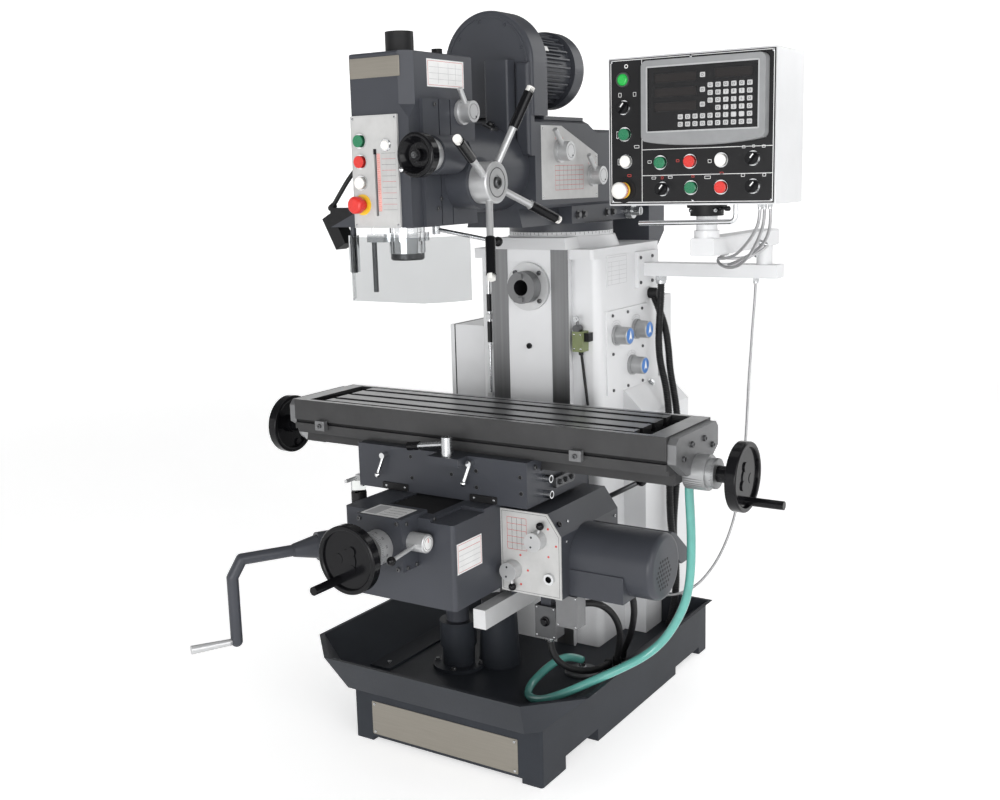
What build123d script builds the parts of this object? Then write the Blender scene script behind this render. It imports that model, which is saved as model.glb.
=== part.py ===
from build123d import *
import math
import os

# Knee mill with a vertical head on a ram and a horizontal spindle in the column.
# Millimetres. X runs along the table, the operator stands at -Y, Z is up.
# The origin is on the floor under the middle of the base.

# Clearances
RUN_GAP = 0.3
FIT_GAP = 0.05
SEAT_GAP = 0.3
WAY_GAP = 0.1

# Base and tray
PLINTH_WIDTH = 600
PLINTH_DEPTH = 1042
PLINTH_HEIGHT = 165
SIDE_NOTCH_DEPTH = 60
FRONT_NOTCH_HEIGHT = 13
FRONT_NOTCH_DEPTH = 40
FRONT_FOOT_WIDTH = 60
REAR_POCKET_HEIGHT = 24
FRONT_POCKET_HEIGHT = 36
POCKET_LENGTH = 178
POCKET_FROM_END = 120
TRAY_WALL = 10
TRAY_HEIGHT = 103
TRAY_SIDE_FLARE = 127
TRAY_FRONT_FLARE = 109
TRAY_FOOT_FRONT = 49
TRAY_FOOT_SIDE = 10
TRAY_CORNER = 120
TRAY_LENGTH = 896
POST_Y = -240
POST_BASE_RADIUS = 59
POST_TOP_RADIUS = 48
POST_HEIGHT = 188
JACK_X = -90
JACK_Y = -312
JACK_RADIUS = 45
JACK_HEIGHT = 100
JACK_COLLAR_RADIUS = 51
JACK_COLLAR_HEIGHT = 72
JACK_FLANGE = 22
JACK_PIT_FLOOR = 30

# Column
WAY_WIDTH = 250
WAY_FACE_Y = -39
WAY_DEPTH = 44
WAY_UNDERCUT = 14
WAY_LAND = 55
WAY_RELIEF = 2
COLUMN_WIDTH = 390
COLUMN_DEPTH = 395
COLUMN_HEIGHT = 1151
COLUMN_EDGE = 22
LINTEL_HEIGHT = 28
LINTEL_DEPTH = 30
LINTEL_EDGE = 12
DATA_PLATE_FRONT = 47
DATA_PLATE_LENGTH = 125
DATA_PLATE_HEIGHT = 86
DATA_PLATE_DROP = 23
DATA_PLATE_THICK = 2
FLARE_WIDTH = 530
FLARE_START_HEIGHT = 740
FLARE_DROP = 70
FLARE_SETBACK = 145
FLARE_DEPTH = 300
CAP_HEIGHT = 31
CAP_BEVEL = 13
CAP_RADIUS = 168
CAP_OVERHANG = 9
GEAR_PAD_THICK = 4
GEAR_PAD_FRONT = 40
GEAR_PAD_LENGTH = 256
GEAR_PAD_HEIGHT = 236
GEAR_PAD_TOP_DROP = 177
TURRET_Y = 146

# Column fittings
RING_RADIUS = 150
RING_BORE = 112
RING_HEIGHT = 13
ARBOR_DROP = 103
ARBOR_FLANGE_RADIUS = 67
ARBOR_FLANGE_THICK = 10
ARBOR_NOSE_RADIUS = 44.44
ARBOR_NOSE_LENGTH = 36
ARBOR_TAPER_RADIUS = 22.2
ARBOR_TAPER_DEPTH = 90
ARBOR_SHAFT_RADIUS = 34
ARBOR_LENGTH = 160
DRIVE_KEY = 15.9
SWITCH_WIDTH = 32
SWITCH_DEPTH = 36
SWITCH_HEIGHT = 56
SWITCH_DROP = 225
SWITCH_X = 146
SWITCH_SIDE = 14
SWITCH_HEAD_RADIUS = 11
SWITCH_HEAD_X = -4
SWITCH_LEVER = 38
SWITCH_LEVER_RADIUS = 4
LIMIT_ROD_X = -150
LIMIT_ROD_STAND = 22
LIMIT_ROD_RADIUS = 4
LIMIT_ROD_DROP = 61
LIMIT_ROD_LENGTH = 370
LIMIT_SLEEVE_RADIUS = 7
LIMIT_BRACKET = 16
# Rod sleeves and brackets: drop of each one from the column top, and its length
LIMIT_SLEEVES = ((131, 50), (211, 60))
LIMIT_BRACKETS = ((66, 14), (188, 16), (419, 12))

# Column selector knobs: place along Y from the front of the body and drop from the column top
KNOB_RADIUS = 25
KNOB_LENGTH = 44
KNOB_COLLAR = 29
KNOB_COLLAR_THICK = 8
COLUMN_KNOBS = ((95, 248), (220, 245), (191, 346))

# Cabinets beside and behind the column
CABINET_WIDTH = 105
CABINET_DEPTH = 350
CABINET_HEIGHT = 600
CABINET_SETBACK = 15
CABINET_TOP_DROP = 230
DOOR_THICK = 16
DOOR_HINGE_RADIUS = 6
DOOR_HINGE_LENGTH = 60
DOOR_HINGE_INSET = 50
DOOR_LOCK_RADIUS = 9
DOOR_LOCK_REACH = 7
DOOR_LOCK_SIDE = 24
REAR_COVER_DEPTH = 85
REAR_COVER_HEIGHT = 690
REAR_COVER_TOP_DROP = 166

# Panel arms
ARM_Y = 295
ARM_WIDTH = 60
ARM_HEIGHT = 37
ARM_TOP_DROP = 57
ARM_PLATE_THICK = 12
ARM_PLATE_SIZE = 134
ARM_PLATE_HEIGHT = 104
ELBOW_X = 560
ARM_END = 46
ELBOW_PIN_RADIUS = 15
ELBOW_POST_RADIUS = 22
ELBOW_RISE = 53
SWING_ARM_WIDTH = 64
SWING_ARM_HEIGHT = 44
SWING_ARM_REACH = 405
PANEL_POST_RADIUS = 26
PANEL_POST_HEIGHT = 84
PANEL_POST_STEP = 18

# Control panel
PANEL_WIDTH = 424
PANEL_HEIGHT = 350
PANEL_DEPTH = 180
PANEL_FRONT_REACH = 125
PANEL_SHIFT = 8
PANEL_FLANGE_RADIUS = 41
PANEL_FLANGE_HEIGHT = 30
FASCIA_THICK = 3
FASCIA_EDGE = 4
READOUT_WIDTH = 306
READOUT_HEIGHT = 186
READOUT_DEPTH = 26
READOUT_SIDE = 18
READOUT_TOP = 14
READOUT_BEZEL = 17
READOUT_SCREEN_INSET = 3
HANDLE_RADIUS = 6
HANDLE_DROP = 40
HANDLE_LENGTH = 250
HANDLE_SIDE = 104
BUTTON_RADIUS = 14
BUTTON_TRAVEL = 5
BUTTON_RING = 17
BUTTON_RING_THICK = 5
BUTTON_STEM = 10
STOP_RADIUS = 20
STOP_NECK_RADIUS = 13
STOP_LENGTH = 34
STOP_CAP = 18
STOP_RING = 30
STOP_RING_THICK = 2
SELECTOR_RADIUS = 15
SELECTOR_LENGTH = 12
SELECTOR_BLADE = 8
# Controls: distance from the left edge and from the bottom edge of the panel
PANEL_LAMP = (41, 298)
PANEL_BUTTONS = {
    "spindle_start": (46, 170),
    "spindle_jog": (49, 106),
    "feed_start": (140, 101),
    "feed_stop": (216, 102),
    "rapid_feed": (294, 103),
    "coolant_on": (219, 41),
    "coolant_off": (294, 41),
}
PANEL_SELECTORS = {
    "spindle_direction": (44, 233),
    "feed_direction": (371, 105),
    "axis_selector": (146, 39),
    "work_light": (372, 42),
}
PANEL_STOP = (42, 37)

# Turret and ram
TURRET_FLANGE_HEIGHT = 24
TURRET_CHEEK = 30
TURRET_BLOCK_WIDTH = 240
TURRET_BLOCK_LENGTH = 300
TURRET_BLOCK_HEIGHT = 48
SLIDE_TOP_WIDTH = 150
SLIDE_BOTTOM_WIDTH = 174
RAM_WIDTH = 260
RAM_FRONT = -210
RAM_REAR = 568
RAM_HEIGHT = 236
RAM_STEP_Y = 60
RAM_STEP_DROP = 22
RAM_SHOULDER_Y = 330
RAM_TAIL_HEIGHT = 110
RAM_TAIL_DROP = 163
RAM_TAIL_DEPTH = 109
RAM_TAIL_BEVEL = 73
RAM_TAIL_RISE = 67
RAM_EDGE = 8
PINION_Y = 330
PINION_DROP = 26
PINION_RADIUS = 13
PINION_COLLAR = 22
PINION_REACH = 46
RAM_NOSE_RADIUS = 112
RAM_NOSE_LENGTH = 120
HEAD_AXIS_Z = 1540
BOX_X = (15, 85)
BOX_DEPTH = 54
BOX_TOP = 1806
GUSSET_X = (88, 130)
GUSSET_DEPTH = 26
GUSSET_LOW = 1568
GUSSET_EDGE = 9

# Main motor on the ram
MOTOR_Z = 1800
COVER_RADIUS = 135
COVER_DEPTH = 75
COVER_EDGE = 9
COVER_STAND = 15
MOTOR_RADIUS = 90
MOTOR_LENGTH = 205
FIN_COUNT = 28
FIN_HEIGHT = 9
FIN_THICK = 4
FAN_RADIUS = 104
FAN_LENGTH = 66
FAN_EDGE = 22
GLAND_RADIUS = 10

# Gear levers on the ram: Y place and height
RAM_LEVERS = {"ram_lever_front": (-86, 1579), "ram_lever_rear": (96, 1513)}
LEVER_KNOB_RADIUS = 25
LEVER_KNOB_LENGTH = 36
LEVER_COLLAR_RADIUS = 30
LEVER_COLLAR_THICK = 8
LEVER_ROD_RADIUS = 6.5
LEVER_ROD_LENGTH = 78
LEVER_LEAN = 45

# Head
HEAD_WIDTH = 164
HEAD_FRONT = -681
HEAD_DEPTH = 260
HEAD_BOTTOM = 1408
HEAD_HEIGHT = 395
HEAD_CHAMFER = 26
HEAD_EDGE = 5
HEAD_CHAMFER_STOP = 277
HEAD_CHAMFER_RISE = 31
SPINDLE_Y = -595
FLANGE_RADIUS = 112
SIDE_PLATE_THICK = 9
SIDE_PLATE_FRONT = 42
SIDE_PLATE_HEIGHT = 290
SIDE_PLATE_REAR = 6
SIDE_GROOVES = (104, 149)
SIDE_GROOVE = 4
SIDE_GROOVE_DEPTH = 3
CAPSTAN_Y = -500
CAPSTAN_RISE = 97
CAPSTAN_Z = HEAD_BOTTOM + CAPSTAN_RISE
CAPSTAN_BOSS_RADIUS = 60
CAPSTAN_BOSS_LENGTH = 68
FINE_X = 124
FINE_RISE = 163
FINE_Z = HEAD_BOTTOM + FINE_RISE
FINE_HOUSING_RADIUS = 44
FINE_HOUSING_LENGTH = 88
FINE_COLLAR_RADIUS = 38
FINE_COLLAR_LENGTH = 30
FINE_SETBACK = 20
FINE_WEB = 38
CAP_TOP_RADIUS = 33
CAP_TOP_HEIGHT = 50
PLUG_RADIUS = 13
PLUG_HEIGHT = 22
PLUG_SETBACK = 235
GUARD_LUG = 30
GUARD_PIN_RADIUS = 7

# Head control plate and its controls (X and height from the plate bottom)
HEAD_PANEL_WIDTH = 134
HEAD_PANEL_HEIGHT = 256
HEAD_PANEL_THICK = 6
HEAD_PANEL_LEFT = -82
DEPTH_SLOT_X = -13
DEPTH_SLOT_WIDTH = 7
DEPTH_SLOT_LENGTH = 148
DEPTH_SLOT_BOTTOM = 28
HEAD_BUTTONS = {"head_start": (-54, 199), "head_stop": (-54, 152), "head_jog": (-55, 104)}
HEAD_STOP = (-55, 54)
HEAD_LAMP = (20, 188)
HEAD_STOP_RING = 24

# Quill, vertical spindle and depth rod
QUILL_RADIUS = 43
QUILL_LENGTH = 240
QUILL_SHOW = 63
SPINDLE_RADIUS = 28
SPINDLE_NOSE_RADIUS = 40
SPINDLE_NOSE_LENGTH = 16
SPINDLE_TAPER_RADIUS = 16
SPINDLE_TAPER_DEPTH = 80
CLAMP_RADIUS = 53
CLAMP_HEIGHT = 20
CLAMP_DROP = 14
DEPTH_ROD_RADIUS = 6
DEPTH_ROD_X = -48
DEPTH_ROD_Y = -660
DEPTH_ROD_ABOVE = 30
DEPTH_ROD_BELOW = 152

# Capstan
HUB_RADIUS = 49
HUB_LENGTH = 48
HUB_SHAFT_RADIUS = 15
ARM_ROD_RADIUS = 8.5
ARM_RADIAL = 226
ARM_LEAN = 60
GRIP_RADIUS = 12
GRIP_LENGTH = 92
TIP_RADIUS = 10
TIP_LENGTH = 14
ARM_PHASE = 66
ARM_COUNT = 4

# Fine feed handwheel and head gear lever
FINE_WHEEL_RADIUS = 50
FINE_WHEEL_THICK = 30
HEAD_LEVER_Y = -483
HEAD_LEVER_RISE = 263
HEAD_LEVER_Z = HEAD_BOTTOM + HEAD_LEVER_RISE
HEAD_LEVER_LENGTH = 62
HEAD_LEVER_LEAN = 32

# Quill lock lever under the head
LOCK_HUB_X = 16
LOCK_HUB_Y = -498
LOCK_HUB_RADIUS = 10
LOCK_HUB_LENGTH = 24
QUILL_LOCK_RADIUS = 5
QUILL_LOCK_REACH = (154, 38, -31)
QUILL_LOCK_BALL = 12

# Chip guard
GUARD_THICK = 3
GUARD_TOP_DROP = 20
GUARD_HEIGHT = 150
GUARD_PIVOT = (-130, -636)
INTERLOCK = (34, 40, 84)
INTERLOCK_X = -187
INTERLOCK_Y = -622
INTERLOCK_DROP = 10
INTERLOCK_TILT = -28
GUARD_LINE = ((-87, -700), (117, -700), (158, -655), (182, -598))

# Knee
KNEE_WIDTH = 330
KNEE_FRONT = -680
KNEE_BOTTOM = 497
KNEE_HEIGHT = 222
KNEE_CHEEK = 28
KNEE_REAR_DROP = 70
KNEE_REAR_LENGTH = 170
KNEE_EDGE = 10
KNEE_SLAB_X = 98
KNEE_SLAB_DROP = 8
KNEE_CHANNEL = 170
KNEE_CHANNEL_DEPTH = 30
KNEE_UNDERCUT = 9
CHANNEL_STOP = 42
COVER_PLATE_LENGTH = 153
COVER_PLATE_THICK = 28
COVER_FOLD_DEPTH = 4
COVER_FOLDS = 8
NOSE_X = -8
NOSE_WIDTH = 140
NOSE_LENGTH = 65
NOSE_RISE = 10
NOSE_BACK = 40
NOSE_HEIGHT = 122
CROSS_Z = 655
CROSS_DIAL_RADIUS = 42
CROSS_DIAL_LENGTH = 45
CRANK_ANGLE = 60
CRANK_MOUTH = (-215, -735, 621)
CRANK_BOSS_RADIUS = 36
CRANK_BOSS_LENGTH = 105
JACK_TUBE_RADIUS = 32
JACK_TUBE_BOTTOM = 155

# Feed gearbox and feed motor on the knee
BOX_WIDTH = 173
BOX_FRONT = -471
BOX_LENGTH = 300
BOX_BOTTOM = 491
BOX_HEIGHT = 214
BOX_CUT_WIDTH = 38
BOX_CUT_HEIGHT = 54
FEED_PLATE_THICK = 4
FEED_MOTOR_RADIUS = 84
FEED_MOTOR_LENGTH = 222
FEED_MOTOR_Y = -350
FEED_MOTOR_Z = 575
FEED_MOTOR_EDGE = 14
HOOD_END = 6
# Outline of the hood behind the feed motor, from the motor axis
HOOD_OUTLINE = ((0, 65), (50, 75), (71, 65), (137, 12), (137, -23), (106, -23), (80, 0), (0, 0))
MOTOR_FOOT_LENGTH = 149
MOTOR_FOOT_FRONT = 86
MOTOR_FOOT_REAR = 45
MOTOR_FOOT_DROP = 15
MOTOR_FOOT_GAP = 1
FEED_SOCKET = (307, 542)
SOCKET_RADIUS = 14
TRIP_BAR = (36, 50)
TRIP_BAR_LENGTH = 290
TRIP_BAR_FRONT = -565
TRIP_BAR_X = 136
SWITCH_BOX = (60, 44, 84)
SWITCH_BOX_X = 228
SWITCH_BOX_BACK = 50
SWITCH_BOX_DROP = 47
SWITCH_STEM = 30
SWITCH_STEM_SIDE = 12
SWITCH_STEM_BACK = 10
SWITCH_STEM_DEPTH = 24
SECOND_BOX_X = 302
SECOND_BOX_BACK = 30
TRIP_BAR_DROP = 27
HANGER_BACK = (40, 120)
FEED_KNOBS = {"feed_rate_knob": (275, 638), "feed_range_knob": (202, 551)}
FEED_KNOB_RADIUS = 24
FEED_KNOB_LENGTH = 30
FEED_KNOB_LEVER = 42
BALL_RADIUS = 10

# Knee clamp lever and nose lever
CLAMP_PIVOT = (165, -110, 600)
CLAMP_HUB_RADIUS = 16
CLAMP_HUB_LENGTH = 24
CLAMP_BALL = (350, -52, 697)
CLAMP_ROD_RADIUS = 7
CLAMP_BALL_RADIUS = 15
NOSE_LEVER_Y = -708
NOSE_LEVER_Z = 668
NOSE_KNOB_RADIUS = 23
NOSE_KNOB_LENGTH = 48
NOSE_LEVER_REACH = 112
NOSE_LEVER_DROP = 14

# Cross-feed handwheel, table handwheels
WHEEL_RADIUS = 83
WHEEL_RIM = 13
WHEEL_THICK = 28
WHEEL_WEB = 9
WHEEL_HUB_RADIUS = 25
WHEEL_SHAFT_RADIUS = 12
WHEEL_GRIP_RADIUS = 10.5
WHEEL_GRIP_LENGTH = 88
WHEEL_GRIP_AT = 62
WHEEL_LOBES = 3
WHEEL_LOBE_RADIUS = 12
WHEEL_LOBE_AT = 25
WHEEL_DISH = 7
CROSS_WHEEL_STAND = 52
CROSS_WHEEL_TURN = 240
TABLE_WHEEL_TURNS = {1: 12, -1: 160}

# Elevating crank
CRANK_HUB_RADIUS = 30
CRANK_HUB_LENGTH = 62
CRANK_BAR_RADIUS = 14.5
CRANK_BAR_LENGTH = 130
CRANK_ARM = 205
CRANK_BEND = 42
CRANK_GRIP_RADIUS = 11
CRANK_GRIP_LENGTH = 112

# Saddle
SADDLE_WIDTH = 522
SADDLE_LENGTH = 300
SADDLE_FRONT = -500
SADDLE_HEIGHT = 116
SADDLE_TONGUE = 17
SADDLE_TONGUE_SETBACK = 140
SADDLE_CHANNEL = 170
SADDLE_CHANNEL_DEPTH = 34
TABLE_UNDERCUT = 10
NUT_WIDTH = 44
NUT_LENGTH = 80
LEDGE_DEPTH = 45
LEDGE_WIDTH = 92
LEDGE_THICK = 20
LEDGE_X = 43
LUBRICATOR_X = -285
LUBRICATOR_Y = -478
LUBRICATOR_RADIUS = 20
LUBRICATOR_HEIGHT = 66
LUBRICATOR_LIFT = 8
LUBRICATOR_BRACKET = (24, 30)
LUBRICATOR_SPOUT = 52
LUBRICATOR_SPOUT_RADIUS = 5
PLUG_FACE_RADIUS = 10
PLUG_FACE_LENGTH = 22
SADDLE_PLUGS = ((-420, 780), (-418, 739))
LOCK_LEVERS = {"table_lock_left": (-168, 812), "table_lock_right": (103, 820)}
LOCK_STUB_RADIUS = 8
LOCK_STUB_LENGTH = 20
LOCK_ROD_RADIUS = 4.5
LOCK_ROD_LENGTH = 52
TABLE_LEVER_LENGTH = 92
TABLE_LEVER_FOOT = (15, 12)
TABLE_LEVER_BLOCK = (28, 36)
TABLE_LEVER_RADIUS = 8
TABLE_LEVER_DROP = 12
TABLE_LEVER_GRIP = (11, 34)

# Table
TABLE_LENGTH = 1120
TABLE_WIDTH = 254
TABLE_FACE = 82
TABLE_SKIRT = 12
TABLE_OFFSET = 60
TABLE_Y = -350
TONGUE_DEPTH = 30
SCREW_SPACE = 52
SLOT_PITCH = 65
SLOT_WIDTH = 14
SLOT_DEPTH = 12
SLOT_FOOT_WIDTH = 24
SLOT_FOOT_DEPTH = 10
GUTTER_OFFSET = 108
GUTTER_WIDTH = 9
GUTTER_DEPTH = 12
TROUGH_LENGTH = 48
TROUGH_RIM = 45
TROUGH_DEPTH = 34
TROUGH_SIDE = 22
DOG_GROOVE_DROP = 56
DOG_GROOVE = 9
DOG_GROOVE_DEPTH = 8
DOG_SIZE = (32, 14, 22)
DOG_PLACES = (-461, 330)
SCREW_RADIUS = 14
SCREW_DROP = 105
BRACKET_THICK = 22
BRACKET_WIDTH = 244
BRACKET_HEIGHT = 100
BRACKET_TOP_DROP = 4
BRACKET_SIDE = 60
BRACKET_FOOT = 116
BRACKET_EDGE = 14
HOUSING_RADIUS = 43
HOUSING_LENGTH = 32
TABLE_DIAL_RADIUS = 36
TABLE_DIAL_LENGTH = 20
TABLE_WHEEL_STAND = 46

# Hoses, armoured cables and conduits
HOSE_RADIUS = 11
FEED_HOSE_RADIUS = 9
CABLE_RADIUS = 4
CONDUIT_RADIUS = 11
HEAD_CABLE_RADIUS = 5.5
CORD_BEND_SHARE = 0.45
HOSE_ROUTE = (
    (606, -318, 804.7),
    (606, -318, 764),
    (609, -317, 712),
    (611, -315, 652),
    (610, -313, 588),
    (605, -310, 530),
    (592, -307, 474),
    (567, -304, 420),
    (534, -306, 366),
    (494, -322, 324),
    (446, -366, 296),
    (394, -420, 272),
    (332, -462, 240),
    (264, -462, 206),
    (206, -430, 190),
    (176, -374, 192),
    (180, -316, 208),
    (198, -268, 228),
    (219, -226, 232),
    (236, -192, 210),
)
FEED_HOSES = (
    ((258, -399, 359), (258, -396, 318), (270, -374, 276), (290, -334, 246), (306, -280, 226),
     (310, -214, 212), (298, -156, 200)),
    ((330.7, -393.7, 452.4), (346, -350, 448), (358, -296, 424), (360, -240, 380), (352, -190, 324),
     (334, -156, 264), (312, -132, 206)),
    ((419.6, -296.7, 509.5), (422, -256, 452), (406, -212, 396), (380, -164, 344), (350, -116, 292),
     (318, -78, 238), (290, -54, 192)),
)
CABLE_ROUTES = (
    ((719, -171, 1438), (716, -162, 1402), (692, -136, 1368), (654, -96, 1336), (612, -54, 1308),
     (566, -12, 1297), (530, 30, 1295), (526, 78, 1292), (556, 112, 1288), (596, 140, 1296),
     (614, 170, 1320)),
    ((728, -165, 1438), (724, -152, 1402), (698, -114, 1360), (660, -70, 1316), (618, -28, 1284),
     (576, 6, 1271), (536, 36, 1276), (509, 74, 1291), (522, 120, 1302)),
    ((740, -160, 1438), (738, -146, 1398), (714, -108, 1354), (674, -62, 1324), (628, -16, 1304),
     (582, 24, 1285), (546, 60, 1275), (541, 104, 1271), (556, 140, 1276), (584, 166, 1300)),
)
SWITCH_CABLE_ROUTE = (
    (146, -10, 1034),
    (147, -3, 996),
    (152, -1, 946),
    (159, -2, 896),
    (165, -1, 846),
    (169, -2, 796),
    (171, -1, 746),
)
HEAD_CABLE_ROUTE = (
    (-85, -590, 1576),
    (-122, -600, 1562),
    (-150, -616, 1526),
    (-172, -630, 1486),
    (-202, -628, 1451),
)

# Levels that several pieces share
tray_top = PLINTH_HEIGHT + TRAY_HEIGHT
tray_floor = PLINTH_HEIGHT + TRAY_WALL
plinth_front = -PLINTH_DEPTH / 2
column_front = WAY_FACE_Y + WAY_DEPTH
column_rear = column_front + COLUMN_DEPTH
column_top = PLINTH_HEIGHT + COLUMN_HEIGHT
column_side = COLUMN_WIDTH / 2
cap_top = column_top + CAP_HEIGHT
ring_top = cap_top + RING_HEIGHT
arbor_z = column_top - ARBOR_DROP
turret_bottom = ring_top + RUN_GAP
slide_bottom = turret_bottom + TURRET_FLANGE_HEIGHT + WAY_GAP
turret_top = turret_bottom + TURRET_FLANGE_HEIGHT + TURRET_BLOCK_HEIGHT
ram_bottom = turret_top + WAY_GAP
ram_top = ram_bottom + RAM_HEIGHT
ram_side = RAM_WIDTH / 2
head_joint_y = RAM_FRONT - RAM_NOSE_LENGTH
head_side = HEAD_WIDTH / 2
head_rear = HEAD_FRONT + HEAD_DEPTH
head_top = HEAD_BOTTOM + HEAD_HEIGHT
head_panel_front = HEAD_FRONT - HEAD_PANEL_THICK
knee_top = KNEE_BOTTOM + KNEE_HEIGHT
knee_side = KNEE_WIDTH / 2
nose_front = KNEE_FRONT - NOSE_LENGTH
saddle_bottom = knee_top + WAY_GAP
saddle_top = saddle_bottom + SADDLE_HEIGHT
saddle_rear = SADDLE_FRONT + SADDLE_LENGTH
saddle_side = SADDLE_WIDTH / 2
table_bottom = saddle_top + WAY_GAP
table_top = table_bottom + TABLE_SKIRT + TABLE_FACE
table_left = TABLE_OFFSET - TABLE_LENGTH / 2
table_right = TABLE_OFFSET + TABLE_LENGTH / 2
table_front = TABLE_Y - TABLE_WIDTH / 2
table_rear = TABLE_Y + TABLE_WIDTH / 2
screw_z = table_top - SCREW_DROP
box_right = knee_side + BOX_WIDTH
arm_top = column_top - ARM_TOP_DROP
swing_bottom = arm_top + ELBOW_RISE
swing_top = swing_bottom + SWING_ARM_HEIGHT
post_y = ARM_Y - SWING_ARM_REACH
panel_bottom = swing_top + PANEL_POST_HEIGHT
panel_front = post_y - PANEL_FRONT_REACH
panel_left = ELBOW_X + PANEL_SHIFT - PANEL_WIDTH / 2
fascia_front = panel_front - FASCIA_THICK
arm_bottom = arm_top - ARM_HEIGHT
flare_side = FLARE_WIDTH / 2

# Routes tied to the column foot and the fixed arm
CONDUIT_ROUTES = (
    (
        (column_side + 52, 295, arm_bottom - 0.3),
        (column_side + 52, 295, 1160),
        (column_side + 48, 293, 1100),
        (column_side + 47, 287, 1030),
        (column_side + 59, 273, 966),
        (flare_side + 11, 262, 910),
        (flare_side + 23, 256, 850),
        (flare_side + 27, 254, 780),
        (flare_side + 29, 253, 700),
        (flare_side + 29, 252, 620),
        (flare_side + 30, 251, 540),
        (flare_side + 36, 250, 466),
        (flare_side + 49, 250, 396),
        (flare_side + 55, 244, 326),
        (flare_side + 53, 238, 258),
        (flare_side + 41, 234, 194),
    ),
    (
        (column_side + 10.4, 326, 1164),
        (column_side + 31, 324, 1122),
        (column_side + 55, 318, 1068),
        (column_side + 68, 312, 1006),
        (column_side + 77, 302, 944),
        (flare_side + 23, 294, 884),
        (flare_side + 35, 290, 820),
        (flare_side + 41, 288, 750),
        (flare_side + 40, 288, 680),
        (flare_side + 35, 288, 610),
        (flare_side + 29, 288, 540),
        (flare_side + 25, 288, 470),
        (flare_side + 27, 288, 400),
        (flare_side + 33, 286, 330),
        (flare_side + 35, 285, 258),
        (flare_side + 19, 286, 177),
    ),
)
LONG_CABLE_ROUTE = (
    (column_side + 346, 282, arm_bottom - 0.8),
    (column_side + 346, 276, 1164),
    (column_side + 345, 264, 1096),
    (column_side + 345, 254, 1026),
    (column_side + 343, 246, 950),
    (column_side + 343, 238, 872),
    (column_side + 343, 230, 796),
    (column_side + 341, 222, 722),
    (column_side + 335, 214, 650),
    (column_side + 327, 206, 580),
    (column_side + 313, 198, 514),
    (column_side + 291, 190, 450),
    (column_side + 261, 184, 392),
    (column_side + 221, 178, 340),
    (flare_side + 101, 174, 306),
    (flare_side + 49, 170, 292),
    (flare_side + 4.5, 168, 294),
)


def block(x, y, z):
    """A box between two values on each axis."""
    size = Box(x[1] - x[0], y[1] - y[0], z[1] - z[0])
    return Pos((x[0] + x[1]) / 2, (y[0] + y[1]) / 2, (z[0] + z[1]) / 2) * size


def bar_x(radius, x, y, z):
    """A round bar along X between two X values."""
    return Pos((x[0] + x[1]) / 2, y, z) * Rot(0, 90, 0) * Cylinder(radius, x[1] - x[0])


def bar_y(radius, x, y, z):
    """A round bar along Y between two Y values."""
    return Pos(x, (y[0] + y[1]) / 2, z) * Rot(90, 0, 0) * Cylinder(radius, y[1] - y[0])


def bar_z(radius, x, y, z):
    """A round bar along Z between two heights."""
    return Pos(x, y, (z[0] + z[1]) / 2) * Cylinder(radius, z[1] - z[0])


def rod(radius, start, end):
    """A round bar between two points."""
    run = Vector(*end) - Vector(*start)
    face = Plane(origin=start, z_dir=run) * Circle(radius)
    return extrude(face, amount=run.length)


def cone(bottom_radius, top_radius, start, end):
    """A round taper between two points."""
    run = Vector(*end) - Vector(*start)
    place = Plane(origin=start, z_dir=run).location
    return place * Cone(bottom_radius, top_radius, run.length, align=(Align.CENTER, Align.CENTER, Align.MIN))


def ball(radius, at):
    return Pos(*at) * Sphere(radius)


def prism_x(points, x):
    """A YZ outline pushed along X."""
    face = make_face(Polyline([(x[0], y, z) for y, z in points], close=True))
    return extrude(face, amount=x[1] - x[0], dir=(1, 0, 0))


def prism_y(points, y):
    """An XZ outline pushed along Y."""
    face = make_face(Polyline([(x, y[0], z) for x, z in points], close=True))
    return extrude(face, amount=y[1] - y[0], dir=(0, 1, 0))


def prism_z(points, z):
    """An XY outline pushed along Z."""
    face = make_face(Polyline([(x, y, z[0]) for x, y in points], close=True))
    return extrude(face, amount=z[1] - z[0], dir=(0, 0, 1))


def dovetail(centre, mouth, foot, top, floor, low, high):
    """The outline between two heights of a dovetail with the given mouth and foot half-widths."""
    def half(z):
        return mouth + (foot - mouth) * (top - z) / (top - floor)

    left = ((centre - half(high), high), (centre - half(low), low))
    return left + ((centre + half(low), low), (centre + half(high), high))


def tray_outline(front, side, rear, cut, z):
    """The tray seen from above, with its two front corners cut."""
    points = (
        (-side, rear),
        (-side, front + cut),
        (-side + cut, front),
        (side - cut, front),
        (side, front + cut),
        (side, rear),
    )
    return make_face(Polyline([(x, y, z) for x, y in points], close=True))


def tray_shell(inset, low, high):
    """The flared body of the tray, drawn in by a wall."""
    rear = plinth_front - TRAY_FRONT_FLARE + TRAY_LENGTH - inset
    side = PLINTH_WIDTH / 2 - inset
    foot = tray_outline(
        plinth_front - TRAY_FOOT_FRONT + inset, side + TRAY_FOOT_SIDE, rear, TRAY_CORNER / 4, low)
    rim = tray_outline(
        plinth_front - TRAY_FRONT_FLARE + inset, side + TRAY_SIDE_FLARE, rear, TRAY_CORNER, high)
    return loft([foot, rim], ruled=True)


def column_footprint(gap):
    """Where the column stands in the tray."""
    wide = block(
        (-FLARE_WIDTH / 2 - gap, FLARE_WIDTH / 2 + gap),
        (column_front + FLARE_SETBACK - gap, column_front + FLARE_SETBACK + FLARE_DEPTH + gap),
        (PLINTH_HEIGHT, tray_top + TRAY_WALL))
    narrow = block(
        (-column_side - gap, column_side + gap), (WAY_FACE_Y - gap, column_rear),
        (PLINTH_HEIGHT, tray_top + TRAY_WALL))
    return wide + narrow


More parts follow.
